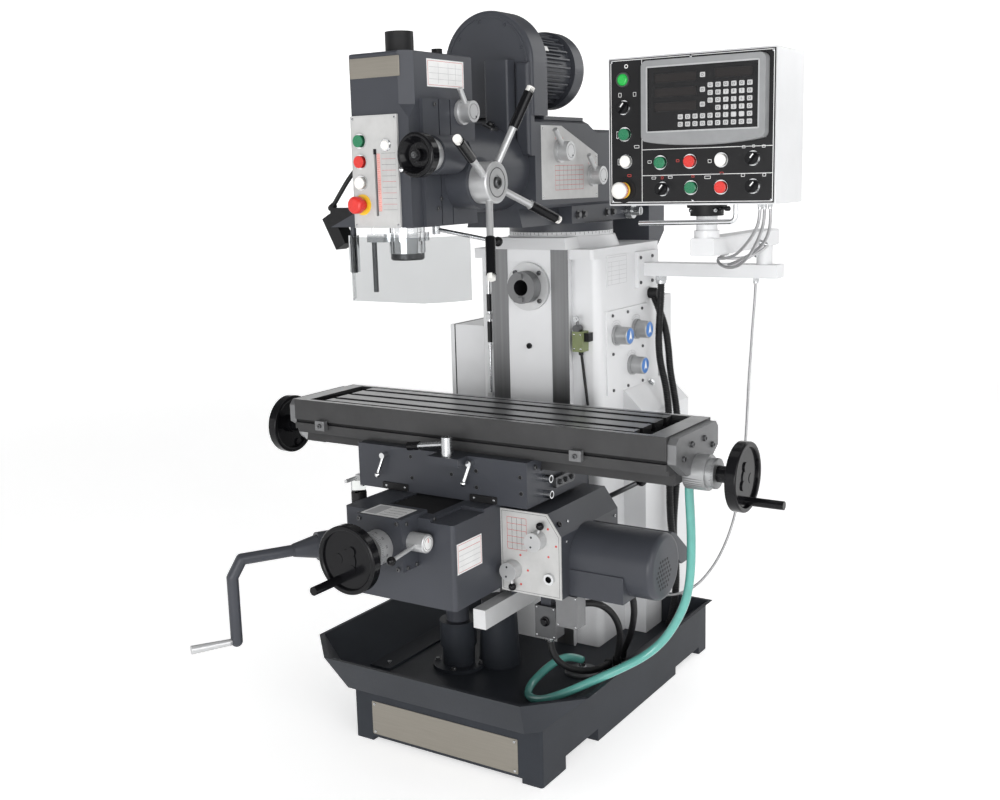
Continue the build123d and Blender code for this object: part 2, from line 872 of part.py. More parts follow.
def plinth():
    half = PLINTH_WIDTH / 2
    body = block((-half, half), (plinth_front, -plinth_front), (0, PLINTH_HEIGHT))
    body = fillet(body.edges().filter_by(Axis.Z), 8)
    notch = half - FRONT_FOOT_WIDTH
    for y in (plinth_front, -plinth_front - FRONT_NOTCH_DEPTH):
        body -= block((-notch, notch), (y, y + FRONT_NOTCH_DEPTH), (0, FRONT_NOTCH_HEIGHT))
    ends = (
        (plinth_front + POCKET_FROM_END, FRONT_POCKET_HEIGHT),
        (-plinth_front - POCKET_FROM_END / 2 - POCKET_LENGTH, REAR_POCKET_HEIGHT),
    )
    for start, height in ends:
        for side in (-half, half - SIDE_NOTCH_DEPTH):
            body -= block((side, side + SIDE_NOTCH_DEPTH), (start, start + POCKET_LENGTH), (0, height))
    return body


def base_casting():
    tray = tray_shell(0, PLINTH_HEIGHT, tray_top)
    tray -= tray_shell(TRAY_WALL, tray_floor, tray_top)
    tray -= column_footprint(SEAT_GAP)
    casting = plinth() + tray
    casting -= bar_z(JACK_TUBE_RADIUS + RUN_GAP, JACK_X, JACK_Y, (JACK_PIT_FLOOR, tray_floor))
    post = cone(
        POST_BASE_RADIUS, POST_TOP_RADIUS, (0, POST_Y, tray_floor), (0, POST_Y, tray_floor + POST_HEIGHT))
    collar_bottom = tray_floor + JACK_HEIGHT - JACK_COLLAR_HEIGHT / 2
    jack = bar_z(JACK_RADIUS, JACK_X, JACK_Y, (tray_floor, tray_floor + JACK_HEIGHT))
    jack += bar_z(
        JACK_COLLAR_RADIUS, JACK_X, JACK_Y, (collar_bottom, collar_bottom + JACK_COLLAR_HEIGHT))
    jack += bar_z(JACK_COLLAR_RADIUS + JACK_FLANGE, JACK_X, JACK_Y, (tray_floor, tray_floor + TRAY_WALL))
    jack -= bar_z(POST_BASE_RADIUS + SEAT_GAP, 0, POST_Y, (tray_floor, tray_floor + TRAY_WALL))
    jack -= bar_z(JACK_TUBE_RADIUS + RUN_GAP, JACK_X, JACK_Y, (0, collar_bottom + 2 * JACK_COLLAR_HEIGHT))
    return [casting, post, jack]


def way_block():
    """The front of the column with its two ground ways, undercut at the sides."""
    half = WAY_WIDTH / 2
    points = (
        (-half, WAY_FACE_Y),
        (half, WAY_FACE_Y),
        (half - WAY_UNDERCUT, column_front),
        (-half + WAY_UNDERCUT, column_front),
    )
    ways = prism_z(points, (PLINTH_HEIGHT, column_top))
    relief = half - WAY_LAND
    return ways - block(
        (-relief, relief), (WAY_FACE_Y, WAY_FACE_Y + WAY_RELIEF), (PLINTH_HEIGHT, column_top))


def column_cap():
    circle = Pos(0, TURRET_Y) * Circle(CAP_RADIUS)
    front = WAY_FACE_Y - CAP_OVERHANG
    lip = Pos(0, (front + TURRET_Y) / 2) * Rectangle(WAY_WIDTH, TURRET_Y - front)
    taper = math.degrees(math.atan(CAP_BEVEL / CAP_HEIGHT))
    return extrude(Pos(0, 0, column_top) * (circle + lip), amount=CAP_HEIGHT, taper=taper)


def column():
    body = block((-column_side, column_side), (column_front, column_rear), (PLINTH_HEIGHT, column_top))
    body = fillet(body.edges().filter_by(Axis.Z), COLUMN_EDGE)
    half = FLARE_WIDTH / 2
    start = PLINTH_HEIGHT + FLARE_START_HEIGHT
    points = (
        (-half, PLINTH_HEIGHT),
        (half, PLINTH_HEIGHT),
        (half, start - FLARE_DROP),
        (column_side - 1, start),
        (1 - column_side, start),
        (-half, start - FLARE_DROP),
    )
    flare_front = column_front + FLARE_SETBACK
    body += prism_y(points, (flare_front, flare_front + FLARE_DEPTH))
    lintel = block(
        (-column_side, column_side), (column_front - LINTEL_DEPTH, column_front + COLUMN_EDGE),
        (column_top - LINTEL_HEIGHT, column_top))
    lintel = fillet(lintel.edges().filter_by(Axis.Z).group_by(Axis.Y)[0], LINTEL_EDGE)
    body += lintel + way_block() + column_cap()
    pad_top = column_top - GEAR_PAD_TOP_DROP
    body += block(
        (column_side - COLUMN_EDGE, column_side + GEAR_PAD_THICK),
        (column_front + GEAR_PAD_FRONT, column_front + GEAR_PAD_FRONT + GEAR_PAD_LENGTH),
        (pad_top - GEAR_PAD_HEIGHT, pad_top))
    data_top = column_top - DATA_PLATE_DROP
    data_front = column_front + DATA_PLATE_FRONT
    body += block(
        (column_side - COLUMN_EDGE, column_side + DATA_PLATE_THICK),
        (data_front, data_front + DATA_PLATE_LENGTH), (data_top - DATA_PLATE_HEIGHT, data_top))
    bore_depth = ARBOR_LENGTH + ARBOR_FLANGE_THICK
    body -= bar_y(ARBOR_SHAFT_RADIUS + FIT_GAP, 0, (WAY_FACE_Y, WAY_FACE_Y + bore_depth), arbor_z)
    return body


def column_fittings():
    ring = bar_z(RING_RADIUS, 0, TURRET_Y, (cap_top, ring_top))
    ring -= bar_z(RING_BORE, 0, TURRET_Y, (cap_top, ring_top))
    flange_y = (WAY_FACE_Y - ARBOR_FLANGE_THICK, WAY_FACE_Y + WAY_RELIEF)
    flange = bar_y(ARBOR_FLANGE_RADIUS, 0, flange_y, arbor_z)
    flange -= bar_y(ARBOR_SHAFT_RADIUS + RUN_GAP, 0, flange_y, arbor_z)
    top = column_top - SWITCH_DROP
    x = (SWITCH_X - SWITCH_WIDTH / 2, SWITCH_X + SWITCH_WIDTH / 2)
    switch = block(x, (column_front - SWITCH_DEPTH, column_front), (top - SWITCH_HEIGHT, top))
    middle = column_front - SWITCH_DEPTH * 0.72
    side_z = (top - SWITCH_HEIGHT / 2, top - SWITCH_HEIGHT / 14)
    switch += block((x[1], x[1] + SWITCH_SIDE), (middle, column_front), side_z)
    head_x = SWITCH_X + SWITCH_HEAD_X
    switch += bar_y(
        SWITCH_HEAD_RADIUS, head_x, (column_front - SWITCH_DEPTH, column_front - SWITCH_DEPTH * 0.4),
        top + SWITCH_HEAD_RADIUS * 0.7)
    switch += bar_z(SWITCH_LEVER_RADIUS, head_x, middle, (top, top + SWITCH_LEVER))
    return [ring, flange, switch, limit_rod()]


def limit_rod():
    """The trip rod beside the left way, on three small brackets."""
    y = column_front - LIMIT_ROD_STAND
    top = column_top - LIMIT_ROD_DROP
    body = bar_z(LIMIT_ROD_RADIUS, LIMIT_ROD_X, y, (top - LIMIT_ROD_LENGTH, top))
    for drop, length in LIMIT_SLEEVES:
        sleeve_top = column_top - drop
        body += bar_z(LIMIT_SLEEVE_RADIUS, LIMIT_ROD_X, y, (sleeve_top - length, sleeve_top))
    half = LIMIT_BRACKET / 2
    for drop, length in LIMIT_BRACKETS:
        bracket_top = column_top - drop
        body += block(
            (LIMIT_ROD_X - half, LIMIT_ROD_X + half), (y - half, column_front),
            (bracket_top - length, bracket_top))
    return body


def horizontal_spindle():
    """The arbor spindle: a nose with a taper and two drive keys, on a shaft in the column."""
    nose_back = WAY_FACE_Y - ARBOR_FLANGE_THICK - RUN_GAP
    nose_front_y = nose_back - ARBOR_NOSE_LENGTH
    spindle = bar_y(ARBOR_NOSE_RADIUS, 0, (nose_front_y, nose_back), arbor_z)
    spindle += bar_y(ARBOR_SHAFT_RADIUS, 0, (nose_back, WAY_FACE_Y + ARBOR_LENGTH), arbor_z)
    key = DRIVE_KEY / 2
    reach = (ARBOR_TAPER_RADIUS + 4, ARBOR_NOSE_RADIUS - 5)
    for low, high in (reach, (-reach[1], -reach[0])):
        spindle += block((-key, key), (nose_front_y - 8, nose_back - 4), (arbor_z + low, arbor_z + high))
    mouth = (0, nose_front_y, arbor_z)
    deep = (0, nose_front_y + ARBOR_TAPER_DEPTH, arbor_z)
    return spindle - cone(ARBOR_TAPER_RADIUS, ARBOR_TAPER_RADIUS * 0.72, mouth, deep)


def column_knob(place):
    y = column_front + place[0]
    z = column_top - place[1]
    face = column_side + GEAR_PAD_THICK + SEAT_GAP
    knob = bar_x(KNOB_COLLAR, (face, face + KNOB_COLLAR_THICK), y, z)
    grip = bar_x(KNOB_RADIUS, (face, face + KNOB_LENGTH), y, z)
    return knob + chamfer(grip.edges().filter_by(GeomType.CIRCLE).sort_by(Axis.X)[-1], 2)


def service_covers():
    """White sheet covers and the fixed arm: side cabinet, rear cover, bracket with arm."""
    left = -column_side - CABINET_WIDTH
    top = column_top - CABINET_TOP_DROP
    front = column_front + CABINET_SETBACK
    cabinet = block((left, -column_side), (front, front + CABINET_DEPTH), (top - CABINET_HEIGHT, top))
    flare_rear = column_front + FLARE_SETBACK + FLARE_DEPTH
    flare_top = PLINTH_HEIGHT + FLARE_START_HEIGHT
    cabinet -= prism_y(
        ((-FLARE_WIDTH / 2, 0), (0, 0), (0, flare_top), (-column_side, flare_top),
         (-FLARE_WIDTH / 2, flare_top - FLARE_DROP)),
        (column_front + FLARE_SETBACK, flare_rear))
    rear_top = column_top - REAR_COVER_TOP_DROP
    rear = block(
        (-column_side, column_side), (column_rear, column_rear + REAR_COVER_DEPTH),
        (rear_top - REAR_COVER_HEIGHT, rear_top))
    rear = fillet(rear.edges().group_by(Axis.Y)[-1], 10)
    rear -= prism_y(
        ((-FLARE_WIDTH / 2, 0), (FLARE_WIDTH / 2, 0), (FLARE_WIDTH / 2, flare_top),
         (-FLARE_WIDTH / 2, flare_top)), (column_rear, flare_rear))
    plate_x = (column_side, column_side + ARM_PLATE_THICK)
    plate_z = arm_top - ARM_HEIGHT / 2
    arm = block(
        plate_x, (ARM_Y - ARM_PLATE_SIZE / 2, min(ARM_Y + ARM_PLATE_SIZE / 2, column_rear)),
        (plate_z - ARM_PLATE_HEIGHT / 2, plate_z + ARM_PLATE_HEIGHT / 2))
    arm += block(
        (plate_x[1], ELBOW_X + ARM_END), (ARM_Y - ARM_WIDTH / 2, ARM_Y + ARM_WIDTH / 2),
        (arm_top - ARM_HEIGHT, arm_top))
    arm -= bar_z(ELBOW_PIN_RADIUS + FIT_GAP, ELBOW_X, ARM_Y, (arm_top - ARM_HEIGHT, arm_top))
    return [cabinet, rear, arm]


def cabinet_door():
    face = -column_side - CABINET_WIDTH - SEAT_GAP
    top = column_top - CABINET_TOP_DROP
    front = column_front + CABINET_SETBACK
    door = block((face - DOOR_THICK, face), (front, front + CABINET_DEPTH), (top - CABINET_HEIGHT, top))
    door = fillet(door.edges().group_by(Axis.X)[0], 4)
    lock = bar_x(
        DOOR_LOCK_RADIUS, (face - DOOR_THICK - DOOR_LOCK_REACH, face - DOOR_THICK / 2),
        front + DOOR_LOCK_SIDE, top - CABINET_HEIGHT / 4)
    door += lock
    knuckles = (top - DOOR_HINGE_INSET, top - CABINET_HEIGHT + DOOR_HINGE_INSET + DOOR_HINGE_LENGTH)
    for knuckle in knuckles:
        door += bar_z(
            DOOR_HINGE_RADIUS, face - DOOR_THICK, front + CABINET_DEPTH,
            (knuckle - DOOR_HINGE_LENGTH, knuckle))
    return door


def swing_arm():
    half = SWING_ARM_WIDTH / 2
    arm = block(
        (ELBOW_X - half, ELBOW_X + half), (post_y - half, ARM_Y + ELBOW_POST_RADIUS + 4),
        (swing_bottom, swing_top))
    arm = chamfer(arm.edges().filter_by(Axis.Y), 4)
    arm += bar_z(ELBOW_POST_RADIUS, ELBOW_X, ARM_Y, (arm_top + RUN_GAP, swing_bottom))
    arm += bar_z(ELBOW_PIN_RADIUS, ELBOW_X, ARM_Y, (arm_top - ARM_HEIGHT, swing_bottom))
    arm += bar_z(PANEL_POST_RADIUS + 5, ELBOW_X, post_y, (swing_top, swing_top + PANEL_POST_STEP))
    arm += bar_z(PANEL_POST_RADIUS, ELBOW_X, post_y, (swing_top, panel_bottom - RUN_GAP))
    return arm


def panel_box():
    x = (panel_left, panel_left + PANEL_WIDTH)
    box = block(x, (panel_front, panel_front + PANEL_DEPTH), (panel_bottom, panel_bottom + PANEL_HEIGHT))
    box = fillet(box.edges().filter_by(Axis.Y), 3)
    flange = bar_z(
        PANEL_FLANGE_RADIUS, ELBOW_X, post_y, (panel_bottom - PANEL_FLANGE_HEIGHT, panel_bottom))
    flange += bar_z(PANEL_FLANGE_RADIUS + 8, ELBOW_X, post_y, (panel_bottom - 10, panel_bottom))
    flange -= bar_z(
        PANEL_POST_RADIUS + FIT_GAP, ELBOW_X, post_y, (panel_bottom - PANEL_FLANGE_HEIGHT, panel_bottom))
    top = (x[1] - HANDLE_SIDE, panel_front + 22, panel_bottom)
    line = FilletPolyline(
        top, (top[0], top[1], panel_bottom - HANDLE_DROP),
        (top[0] - HANDLE_LENGTH, top[1], panel_bottom - HANDLE_DROP - 4), radius=16)
    handle = sweep(Plane(origin=top, z_dir=(0, 0, -1)) * Circle(HANDLE_RADIUS), path=line)
    return [box, flange, handle]


def panel_point(place):
    return (panel_left + place[0], panel_bottom + place[1])


def panel_face():
    """Black fascia with the readout case, the button collars and the lamp on it."""
    edge = FASCIA_EDGE
    face = block(
        (panel_left + edge, panel_left + PANEL_WIDTH - edge), (fascia_front, panel_front),
        (panel_bottom + edge, panel_bottom + PANEL_HEIGHT - edge))
    collars = list(PANEL_BUTTONS.values()) + list(PANEL_SELECTORS.values())
    for place in collars:
        x, z = panel_point(place)
        face += bar_y(BUTTON_RING, x, (fascia_front - BUTTON_RING_THICK, fascia_front), z)
    for place in PANEL_BUTTONS.values():
        x, z = panel_point(place)
        face -= bar_y(BUTTON_STEM + RUN_GAP, x, (fascia_front - BUTTON_RING_THICK, fascia_front), z)
    x, z = panel_point(PANEL_STOP)
    face += bar_y(STOP_RING, x, (fascia_front - STOP_RING_THICK, fascia_front), z)
    face -= bar_y(STOP_NECK_RADIUS + RUN_GAP, x, (fascia_front - STOP_RING_THICK, panel_front), z)
    x, z = panel_point(PANEL_LAMP)
    lamp = bar_y(BUTTON_RADIUS, x, (fascia_front - 9, fascia_front), z)
    lamp = fillet(lamp.edges().sort_by(Axis.Y)[0], 5)
    right = panel_left + PANEL_WIDTH - READOUT_SIDE
    top = panel_bottom + PANEL_HEIGHT - READOUT_TOP
    case = block(
        (right - READOUT_WIDTH, right), (fascia_front - READOUT_DEPTH, fascia_front),
        (top - READOUT_HEIGHT, top))
    case = fillet(case.edges().filter_by(Axis.Y), 14)
    screen_front = fascia_front - READOUT_DEPTH
    case -= block(
        (right - READOUT_WIDTH + READOUT_BEZEL, right - READOUT_BEZEL),
        (screen_front, screen_front + READOUT_SCREEN_INSET),
        (top - READOUT_HEIGHT + READOUT_BEZEL * 1.4, top - READOUT_BEZEL))
    return [face, lamp, case]


def push_button(x, z, seat):
    """A flat cap over its collar; the seat is the collar's front."""
    cap = bar_y(BUTTON_RADIUS, x, (seat - SEAT_GAP - BUTTON_TRAVEL - 3, seat - SEAT_GAP - BUTTON_TRAVEL), z)
    stem = bar_y(BUTTON_STEM, x, (seat - BUTTON_TRAVEL - SEAT_GAP, seat - SEAT_GAP), z)
    return chamfer(cap.edges().sort_by(Axis.Y)[0], 1.2) + stem


def stop_button(x, z, seat):
    """A mushroom cap on a neck."""
    front = seat - SEAT_GAP - STOP_LENGTH
    cap = bar_y(STOP_RADIUS, x, (front, front + STOP_CAP), z)
    cap = fillet(cap.edges().sort_by(Axis.Y)[0], 7)
    return cap + bar_y(STOP_NECK_RADIUS, x, (front + STOP_CAP, seat - SEAT_GAP), z)


def selector(x, z, seat):
    """A short round knob with a raised blade."""
    front = seat - SEAT_GAP - SELECTOR_LENGTH
    knob = bar_y(SELECTOR_RADIUS, x, (front, seat - SEAT_GAP), z)
    half = SELECTOR_RADIUS - 2
    blade = block((x - 4, x + 4), (front - SELECTOR_BLADE, front), (z - half, z + half))
    return Pos(x, 0, z) * Rot(0, 40, 0) * Pos(-x, 0, -z) * (knob + blade)


def turret():
    half = TURRET_BLOCK_WIDTH / 2
    length = TURRET_BLOCK_LENGTH / 2
    base = bar_z(RING_RADIUS, 0, TURRET_Y, (turret_bottom, turret_bottom + TURRET_FLANGE_HEIGHT))
    floor = turret_bottom + TURRET_FLANGE_HEIGHT
    top = block((-half, half), (TURRET_Y - length, TURRET_Y + length), (floor, turret_top))
    body = base + top
    mouth = SLIDE_TOP_WIDTH / 2 + WAY_GAP
    foot = SLIDE_BOTTOM_WIDTH / 2 + WAY_GAP
    points = dovetail(0, mouth, foot, turret_top, floor, floor, turret_top)
    body -= prism_y(points, (TURRET_Y - length, TURRET_Y + length))
    spigot = bar_z(
        RING_BORE - FIT_GAP, 0, TURRET_Y, (cap_top + RUN_GAP, turret_bottom + TURRET_FLANGE_HEIGHT / 2))
    lug = block(
        (half - TURRET_CHEEK, half), (TURRET_Y + length, PINION_Y + PINION_COLLAR), (floor, turret_top))
    lug -= bar_x(PINION_RADIUS + FIT_GAP, (0, half), PINION_Y, turret_top - PINION_DROP)
    return body + spigot + lug


def ram_pinion():
    half = TURRET_BLOCK_WIDTH / 2
    z = turret_top - PINION_DROP
    shaft = bar_x(PINION_RADIUS, (half - TURRET_CHEEK, half + PINION_REACH), PINION_Y, z)
    collar = bar_x(PINION_COLLAR, (half + RUN_GAP, half + PINION_REACH / 2), PINION_Y, z)
    end = half + PINION_REACH
    return shaft + collar - block((end - 12, end), (PINION_Y - 3, PINION_Y + 3), (z - 14, z + 14))


def ram_housing():
    """Gearbox casting on its slide, with the round nose that carries the head."""
    tail = ram_bottom - RAM_TAIL_DROP
    points = (
        (RAM_FRONT, ram_bottom),
        (RAM_FRONT, ram_top - 8),
        (RAM_STEP_Y, ram_top - 8),
        (RAM_STEP_Y + 45, ram_top - 8 - RAM_STEP_DROP),
        (RAM_SHOULDER_Y, ram_top - 8 - RAM_STEP_DROP),
        (RAM_REAR, ram_bottom + RAM_TAIL_HEIGHT),
        (RAM_REAR, tail + RAM_TAIL_RISE),
        (RAM_REAR - RAM_TAIL_BEVEL, tail),
        (RAM_REAR - RAM_TAIL_DEPTH, tail + RAM_TAIL_RISE / 2),
        (RAM_REAR - RAM_TAIL_DEPTH, ram_bottom),
    )
    body = prism_x(points, (-ram_side, ram_side))
    body = chamfer(body.edges().filter_by(Axis.Y), RAM_EDGE)
    body += block((-ram_side + 20, ram_side - 4), (RAM_FRONT + 54, RAM_STEP_Y - 6), (ram_top - 9, ram_top))
    floor = turret_bottom + TURRET_FLANGE_HEIGHT
    slide = dovetail(
        0, SLIDE_TOP_WIDTH / 2, SLIDE_BOTTOM_WIDTH / 2, turret_top, floor, slide_bottom, ram_bottom + 1)
    body += prism_y(slide, (RAM_FRONT, RAM_REAR - RAM_TAIL_DEPTH))
    body += bar_y(RAM_NOSE_RADIUS, 0, (head_joint_y, RAM_FRONT + 20), HEAD_AXIS_Z)
    drive = block(BOX_X, (RAM_FRONT - BOX_DEPTH, RAM_FRONT), (HEAD_AXIS_Z, BOX_TOP))
    body += fillet(drive.edges().filter_by(Axis.Z).sort_by(Axis.Y)[:2], RAM_EDGE * 0.75)
    return body + gusset()


def gusset():
    """The rounded web beside the drive box, seated in front of the belt cover."""
    front = RAM_FRONT - GUSSET_DEPTH
    web = block(GUSSET_X, (front, RAM_FRONT), (GUSSET_LOW, MOTOR_Z))
    web = fillet(web.edges().group_by(Axis.Y)[0], GUSSET_EDGE)
    cover_front = RAM_FRONT - COVER_STAND
    return web - block(GUSSET_X, (cover_front - SEAT_GAP, RAM_FRONT), (ram_top - WAY_GAP, MOTOR_Z))


def drive_motor():
    """Arched belt cover, finned motor and fan cowl, in line along Y."""
    front = RAM_FRONT - COVER_STAND
    rear = front + COVER_DEPTH
    disc = bar_y(COVER_RADIUS, 0, (front, rear), MOTOR_Z)
    skirt = block((-COVER_RADIUS, COVER_RADIUS), (front, rear), (ram_top, MOTOR_Z))
    cover = disc + skirt
    rim = [edge for edge in cover.edges().group_by(Axis.Y)[0] if edge.center().Z > ram_top + COVER_EDGE]
    cover = fillet(rim, COVER_EDGE)
    cover -= block((-COVER_RADIUS, COVER_RADIUS), (front, rear), (MOTOR_Z - COVER_RADIUS - 1, ram_top))
    cover -= block(BOX_X, (front, RAM_FRONT), (ram_top, BOX_TOP))
    motor = bar_y(MOTOR_RADIUS, 0, (rear, rear + MOTOR_LENGTH), MOTOR_Z)
    reach = MOTOR_RADIUS + FIN_HEIGHT
    for step in range(FIN_COUNT):
        fin = block(
            (-FIN_THICK / 2, FIN_THICK / 2), (rear, rear + MOTOR_LENGTH - 16), (MOTOR_RADIUS - 6, reach))
        motor += Pos(0, 0, MOTOR_Z) * Rot(0, 360 / FIN_COUNT * step, 0) * fin
    motor += bar_z(
        GLAND_RADIUS, 0, rear + MOTOR_LENGTH - 40, (MOTOR_Z - reach - 10, MOTOR_Z - MOTOR_RADIUS + 4))
    cowl_start = rear + MOTOR_LENGTH
    cowl = bar_y(FAN_RADIUS, 0, (cowl_start, cowl_start + FAN_LENGTH), MOTOR_Z)
    cowl = fillet(cowl.edges().filter_by(GeomType.CIRCLE).sort_by(Axis.Y)[-1], FAN_EDGE)
    return [cover, motor, cowl]


def lever_knob(side, y, z, lean, length):
    """A round knob on a +X face with a short rod leaning from it."""
    face = side + SEAT_GAP
    knob = bar_x(LEVER_COLLAR_RADIUS, (face, face + LEVER_COLLAR_THICK), y, z)
    knob += bar_x(LEVER_KNOB_RADIUS, (face, face + LEVER_KNOB_LENGTH), y, z)
    x = face + LEVER_KNOB_LENGTH * 0.55
    turn = math.radians(lean)
    end = (x, y - length * math.sin(turn), z + length * math.cos(turn))
    return knob + rod(LEVER_ROD_RADIUS, (x, y, z), end)


def head_casting():
    x = (-head_side, head_side)
    body = block(x, (HEAD_FRONT, head_rear), (HEAD_BOTTOM, head_top))
    body = fillet(body.edges().group_by(Axis.Z)[-1], HEAD_EDGE)
    body -= corner_cut()
    side_plate = head_side + SIDE_PLATE_THICK
    cover_z = (HEAD_BOTTOM, HEAD_BOTTOM + SIDE_PLATE_HEIGHT)
    body += block(
        (0, side_plate), (HEAD_FRONT + SIDE_PLATE_FRONT, head_rear - SIDE_PLATE_REAR), cover_z)
    for place in SIDE_GROOVES:
        y = HEAD_FRONT + place
        body -= block((side_plate - SIDE_GROOVE_DEPTH, side_plate), (y, y + SIDE_GROOVE), cover_z)
    body += bar_x(CAPSTAN_BOSS_RADIUS, (head_side, head_side + CAPSTAN_BOSS_LENGTH), CAPSTAN_Y, CAPSTAN_Z)
    fine_front = HEAD_FRONT + FINE_SETBACK
    body += bar_y(FINE_HOUSING_RADIUS, FINE_X, (fine_front, fine_front + FINE_HOUSING_LENGTH), FINE_Z)
    body += block(
        (head_side - HEAD_EDGE, FINE_X),
        (fine_front + HEAD_EDGE, fine_front + FINE_HOUSING_LENGTH - HEAD_EDGE),
        (FINE_Z - FINE_WEB, FINE_Z + FINE_WEB))
    body += bar_y(FLANGE_RADIUS, 0, (head_rear - 40, head_joint_y - RUN_GAP), HEAD_AXIS_Z)
    body += bar_z(CAP_TOP_RADIUS, 0, SPINDLE_Y, (head_top, head_top + CAP_TOP_HEIGHT))
    body += bar_z(PLUG_RADIUS, 0, HEAD_FRONT + PLUG_SETBACK, (head_top, head_top + PLUG_HEIGHT))
    px, py = GUARD_PIVOT
    lug_x = (INTERLOCK_X, 1 - head_side)
    body += block(lug_x, (py - GUARD_LUG / 2, py + GUARD_LUG / 2), (HEAD_BOTTOM, HEAD_BOTTOM + 46))
    guard_low = HEAD_BOTTOM - GUARD_TOP_DROP - GUARD_HEIGHT
    body += bar_z(GUARD_PIN_RADIUS, px, py, (guard_low + 60, HEAD_BOTTOM))
    w, d, h = INTERLOCK
    place = Pos(INTERLOCK_X, INTERLOCK_Y, HEAD_BOTTOM - INTERLOCK_DROP)
    switch = place * Rot(0, INTERLOCK_TILT, 0) * Box(w, d, h)
    body += switch
    quill_top = HEAD_BOTTOM - QUILL_SHOW + QUILL_LENGTH
    body -= bar_z(QUILL_RADIUS + FIT_GAP, 0, SPINDLE_Y, (HEAD_BOTTOM, quill_top + 30))
    body -= bar_z(
        DEPTH_ROD_RADIUS + RUN_GAP, DEPTH_ROD_X, DEPTH_ROD_Y,
        (HEAD_BOTTOM, HEAD_BOTTOM + DEPTH_ROD_ABOVE + 10))
    boss_end = head_side + CAPSTAN_BOSS_LENGTH
    body -= bar_x(HUB_SHAFT_RADIUS + FIT_GAP, (head_side, boss_end), CAPSTAN_Y, CAPSTAN_Z)
    collar = bar_y(FINE_COLLAR_RADIUS, FINE_X, (fine_front - FINE_COLLAR_LENGTH, fine_front), FINE_Z)
    return [body, collar]


def corner_cut():
    """The cut along the head's upper right front edge, with a sloped stop at its foot."""
    stop = HEAD_BOTTOM + HEAD_CHAMFER_STOP
    deep = HEAD_CHAMFER / math.sqrt(2)
    slope = HEAD_CHAMFER_RISE / deep
    profile = ((-deep, stop), (-deep, head_top), (deep, head_top), (deep, stop - 2 * deep * slope))
    unit = math.sqrt(0.5)
    points = [(head_side + unit * out, HEAD_FRONT - unit * out, z) for out, z in profile]
    face = make_face(Polyline(points, close=True))
    return extrude(face, amount=2 * HEAD_CHAMFER, dir=(1, 1, 0), both=True)


def quill_lock():
    """The thin lever with a ball under the head that clamps the quill."""
    top = HEAD_BOTTOM - SEAT_GAP
    start = (LOCK_HUB_X, LOCK_HUB_Y, top - LOCK_HUB_LENGTH / 2)
    end = tuple(a + b for a, b in zip(start, QUILL_LOCK_REACH))
    hub = bar_z(LOCK_HUB_RADIUS, LOCK_HUB_X, LOCK_HUB_Y, (top - LOCK_HUB_LENGTH, top))
    return hub + rod(QUILL_LOCK_RADIUS, start, end) + ball(QUILL_LOCK_BALL, end)


def head_panel():
    """White control plate on the front of the head, with its collars and lamp."""
    x = (HEAD_PANEL_LEFT, HEAD_PANEL_LEFT + HEAD_PANEL_WIDTH)
    plate = block(x, (head_panel_front, HEAD_FRONT), (HEAD_BOTTOM, HEAD_BOTTOM + HEAD_PANEL_HEIGHT))
    slot = HEAD_BOTTOM + DEPTH_SLOT_BOTTOM
    half = DEPTH_SLOT_WIDTH / 2
    plate -= block(
        (DEPTH_SLOT_X - half, DEPTH_SLOT_X + half), (head_panel_front, HEAD_FRONT),
        (slot, slot + DEPTH_SLOT_LENGTH))
    for bx, bz in HEAD_BUTTONS.values():
        plate += bar_y(
            BUTTON_RING, bx, (head_panel_front - BUTTON_RING_THICK, head_panel_front), HEAD_BOTTOM + bz)
        plate -= bar_y(
            BUTTON_STEM + RUN_GAP, bx, (head_panel_front - BUTTON_RING_THICK, head_panel_front),
            HEAD_BOTTOM + bz)
    bx, bz = HEAD_STOP
    ring_front = head_panel_front - STOP_RING_THICK
    plate += bar_y(HEAD_STOP_RING, bx, (ring_front, head_panel_front), HEAD_BOTTOM + bz)
    plate -= bar_y(STOP_NECK_RADIUS + RUN_GAP, bx, (ring_front, HEAD_FRONT), HEAD_BOTTOM + bz)
    bx, bz = HEAD_LAMP
    lamp = bar_y(11, bx, (head_panel_front - 8, head_panel_front), HEAD_BOTTOM + bz)
    return [plate, fillet(lamp.edges().sort_by(Axis.Y)[0], 3)]


def quill():
    """The chromed sleeve with its clamp ring and the depth rod."""
    low = HEAD_BOTTOM - QUILL_SHOW
    sleeve = bar_z(QUILL_RADIUS, 0, SPINDLE_Y, (low, low + QUILL_LENGTH))
    top = HEAD_BOTTOM - CLAMP_DROP
    ring = bar_z(CLAMP_RADIUS, 0, SPINDLE_Y, (top - CLAMP_HEIGHT, top))
    ear = block(
        (DEPTH_ROD_X - 12, -10), (DEPTH_ROD_Y - 12, SPINDLE_Y - 20), (top - CLAMP_HEIGHT, top))
    depth = bar_z(
        DEPTH_ROD_RADIUS, DEPTH_ROD_X, DEPTH_ROD_Y,
        (HEAD_BOTTOM - DEPTH_ROD_BELOW, HEAD_BOTTOM + DEPTH_ROD_ABOVE))
    body = sleeve + ring + ear + depth
    return body - bar_z(SPINDLE_RADIUS + FIT_GAP, 0, SPINDLE_Y, (low, low + QUILL_LENGTH))


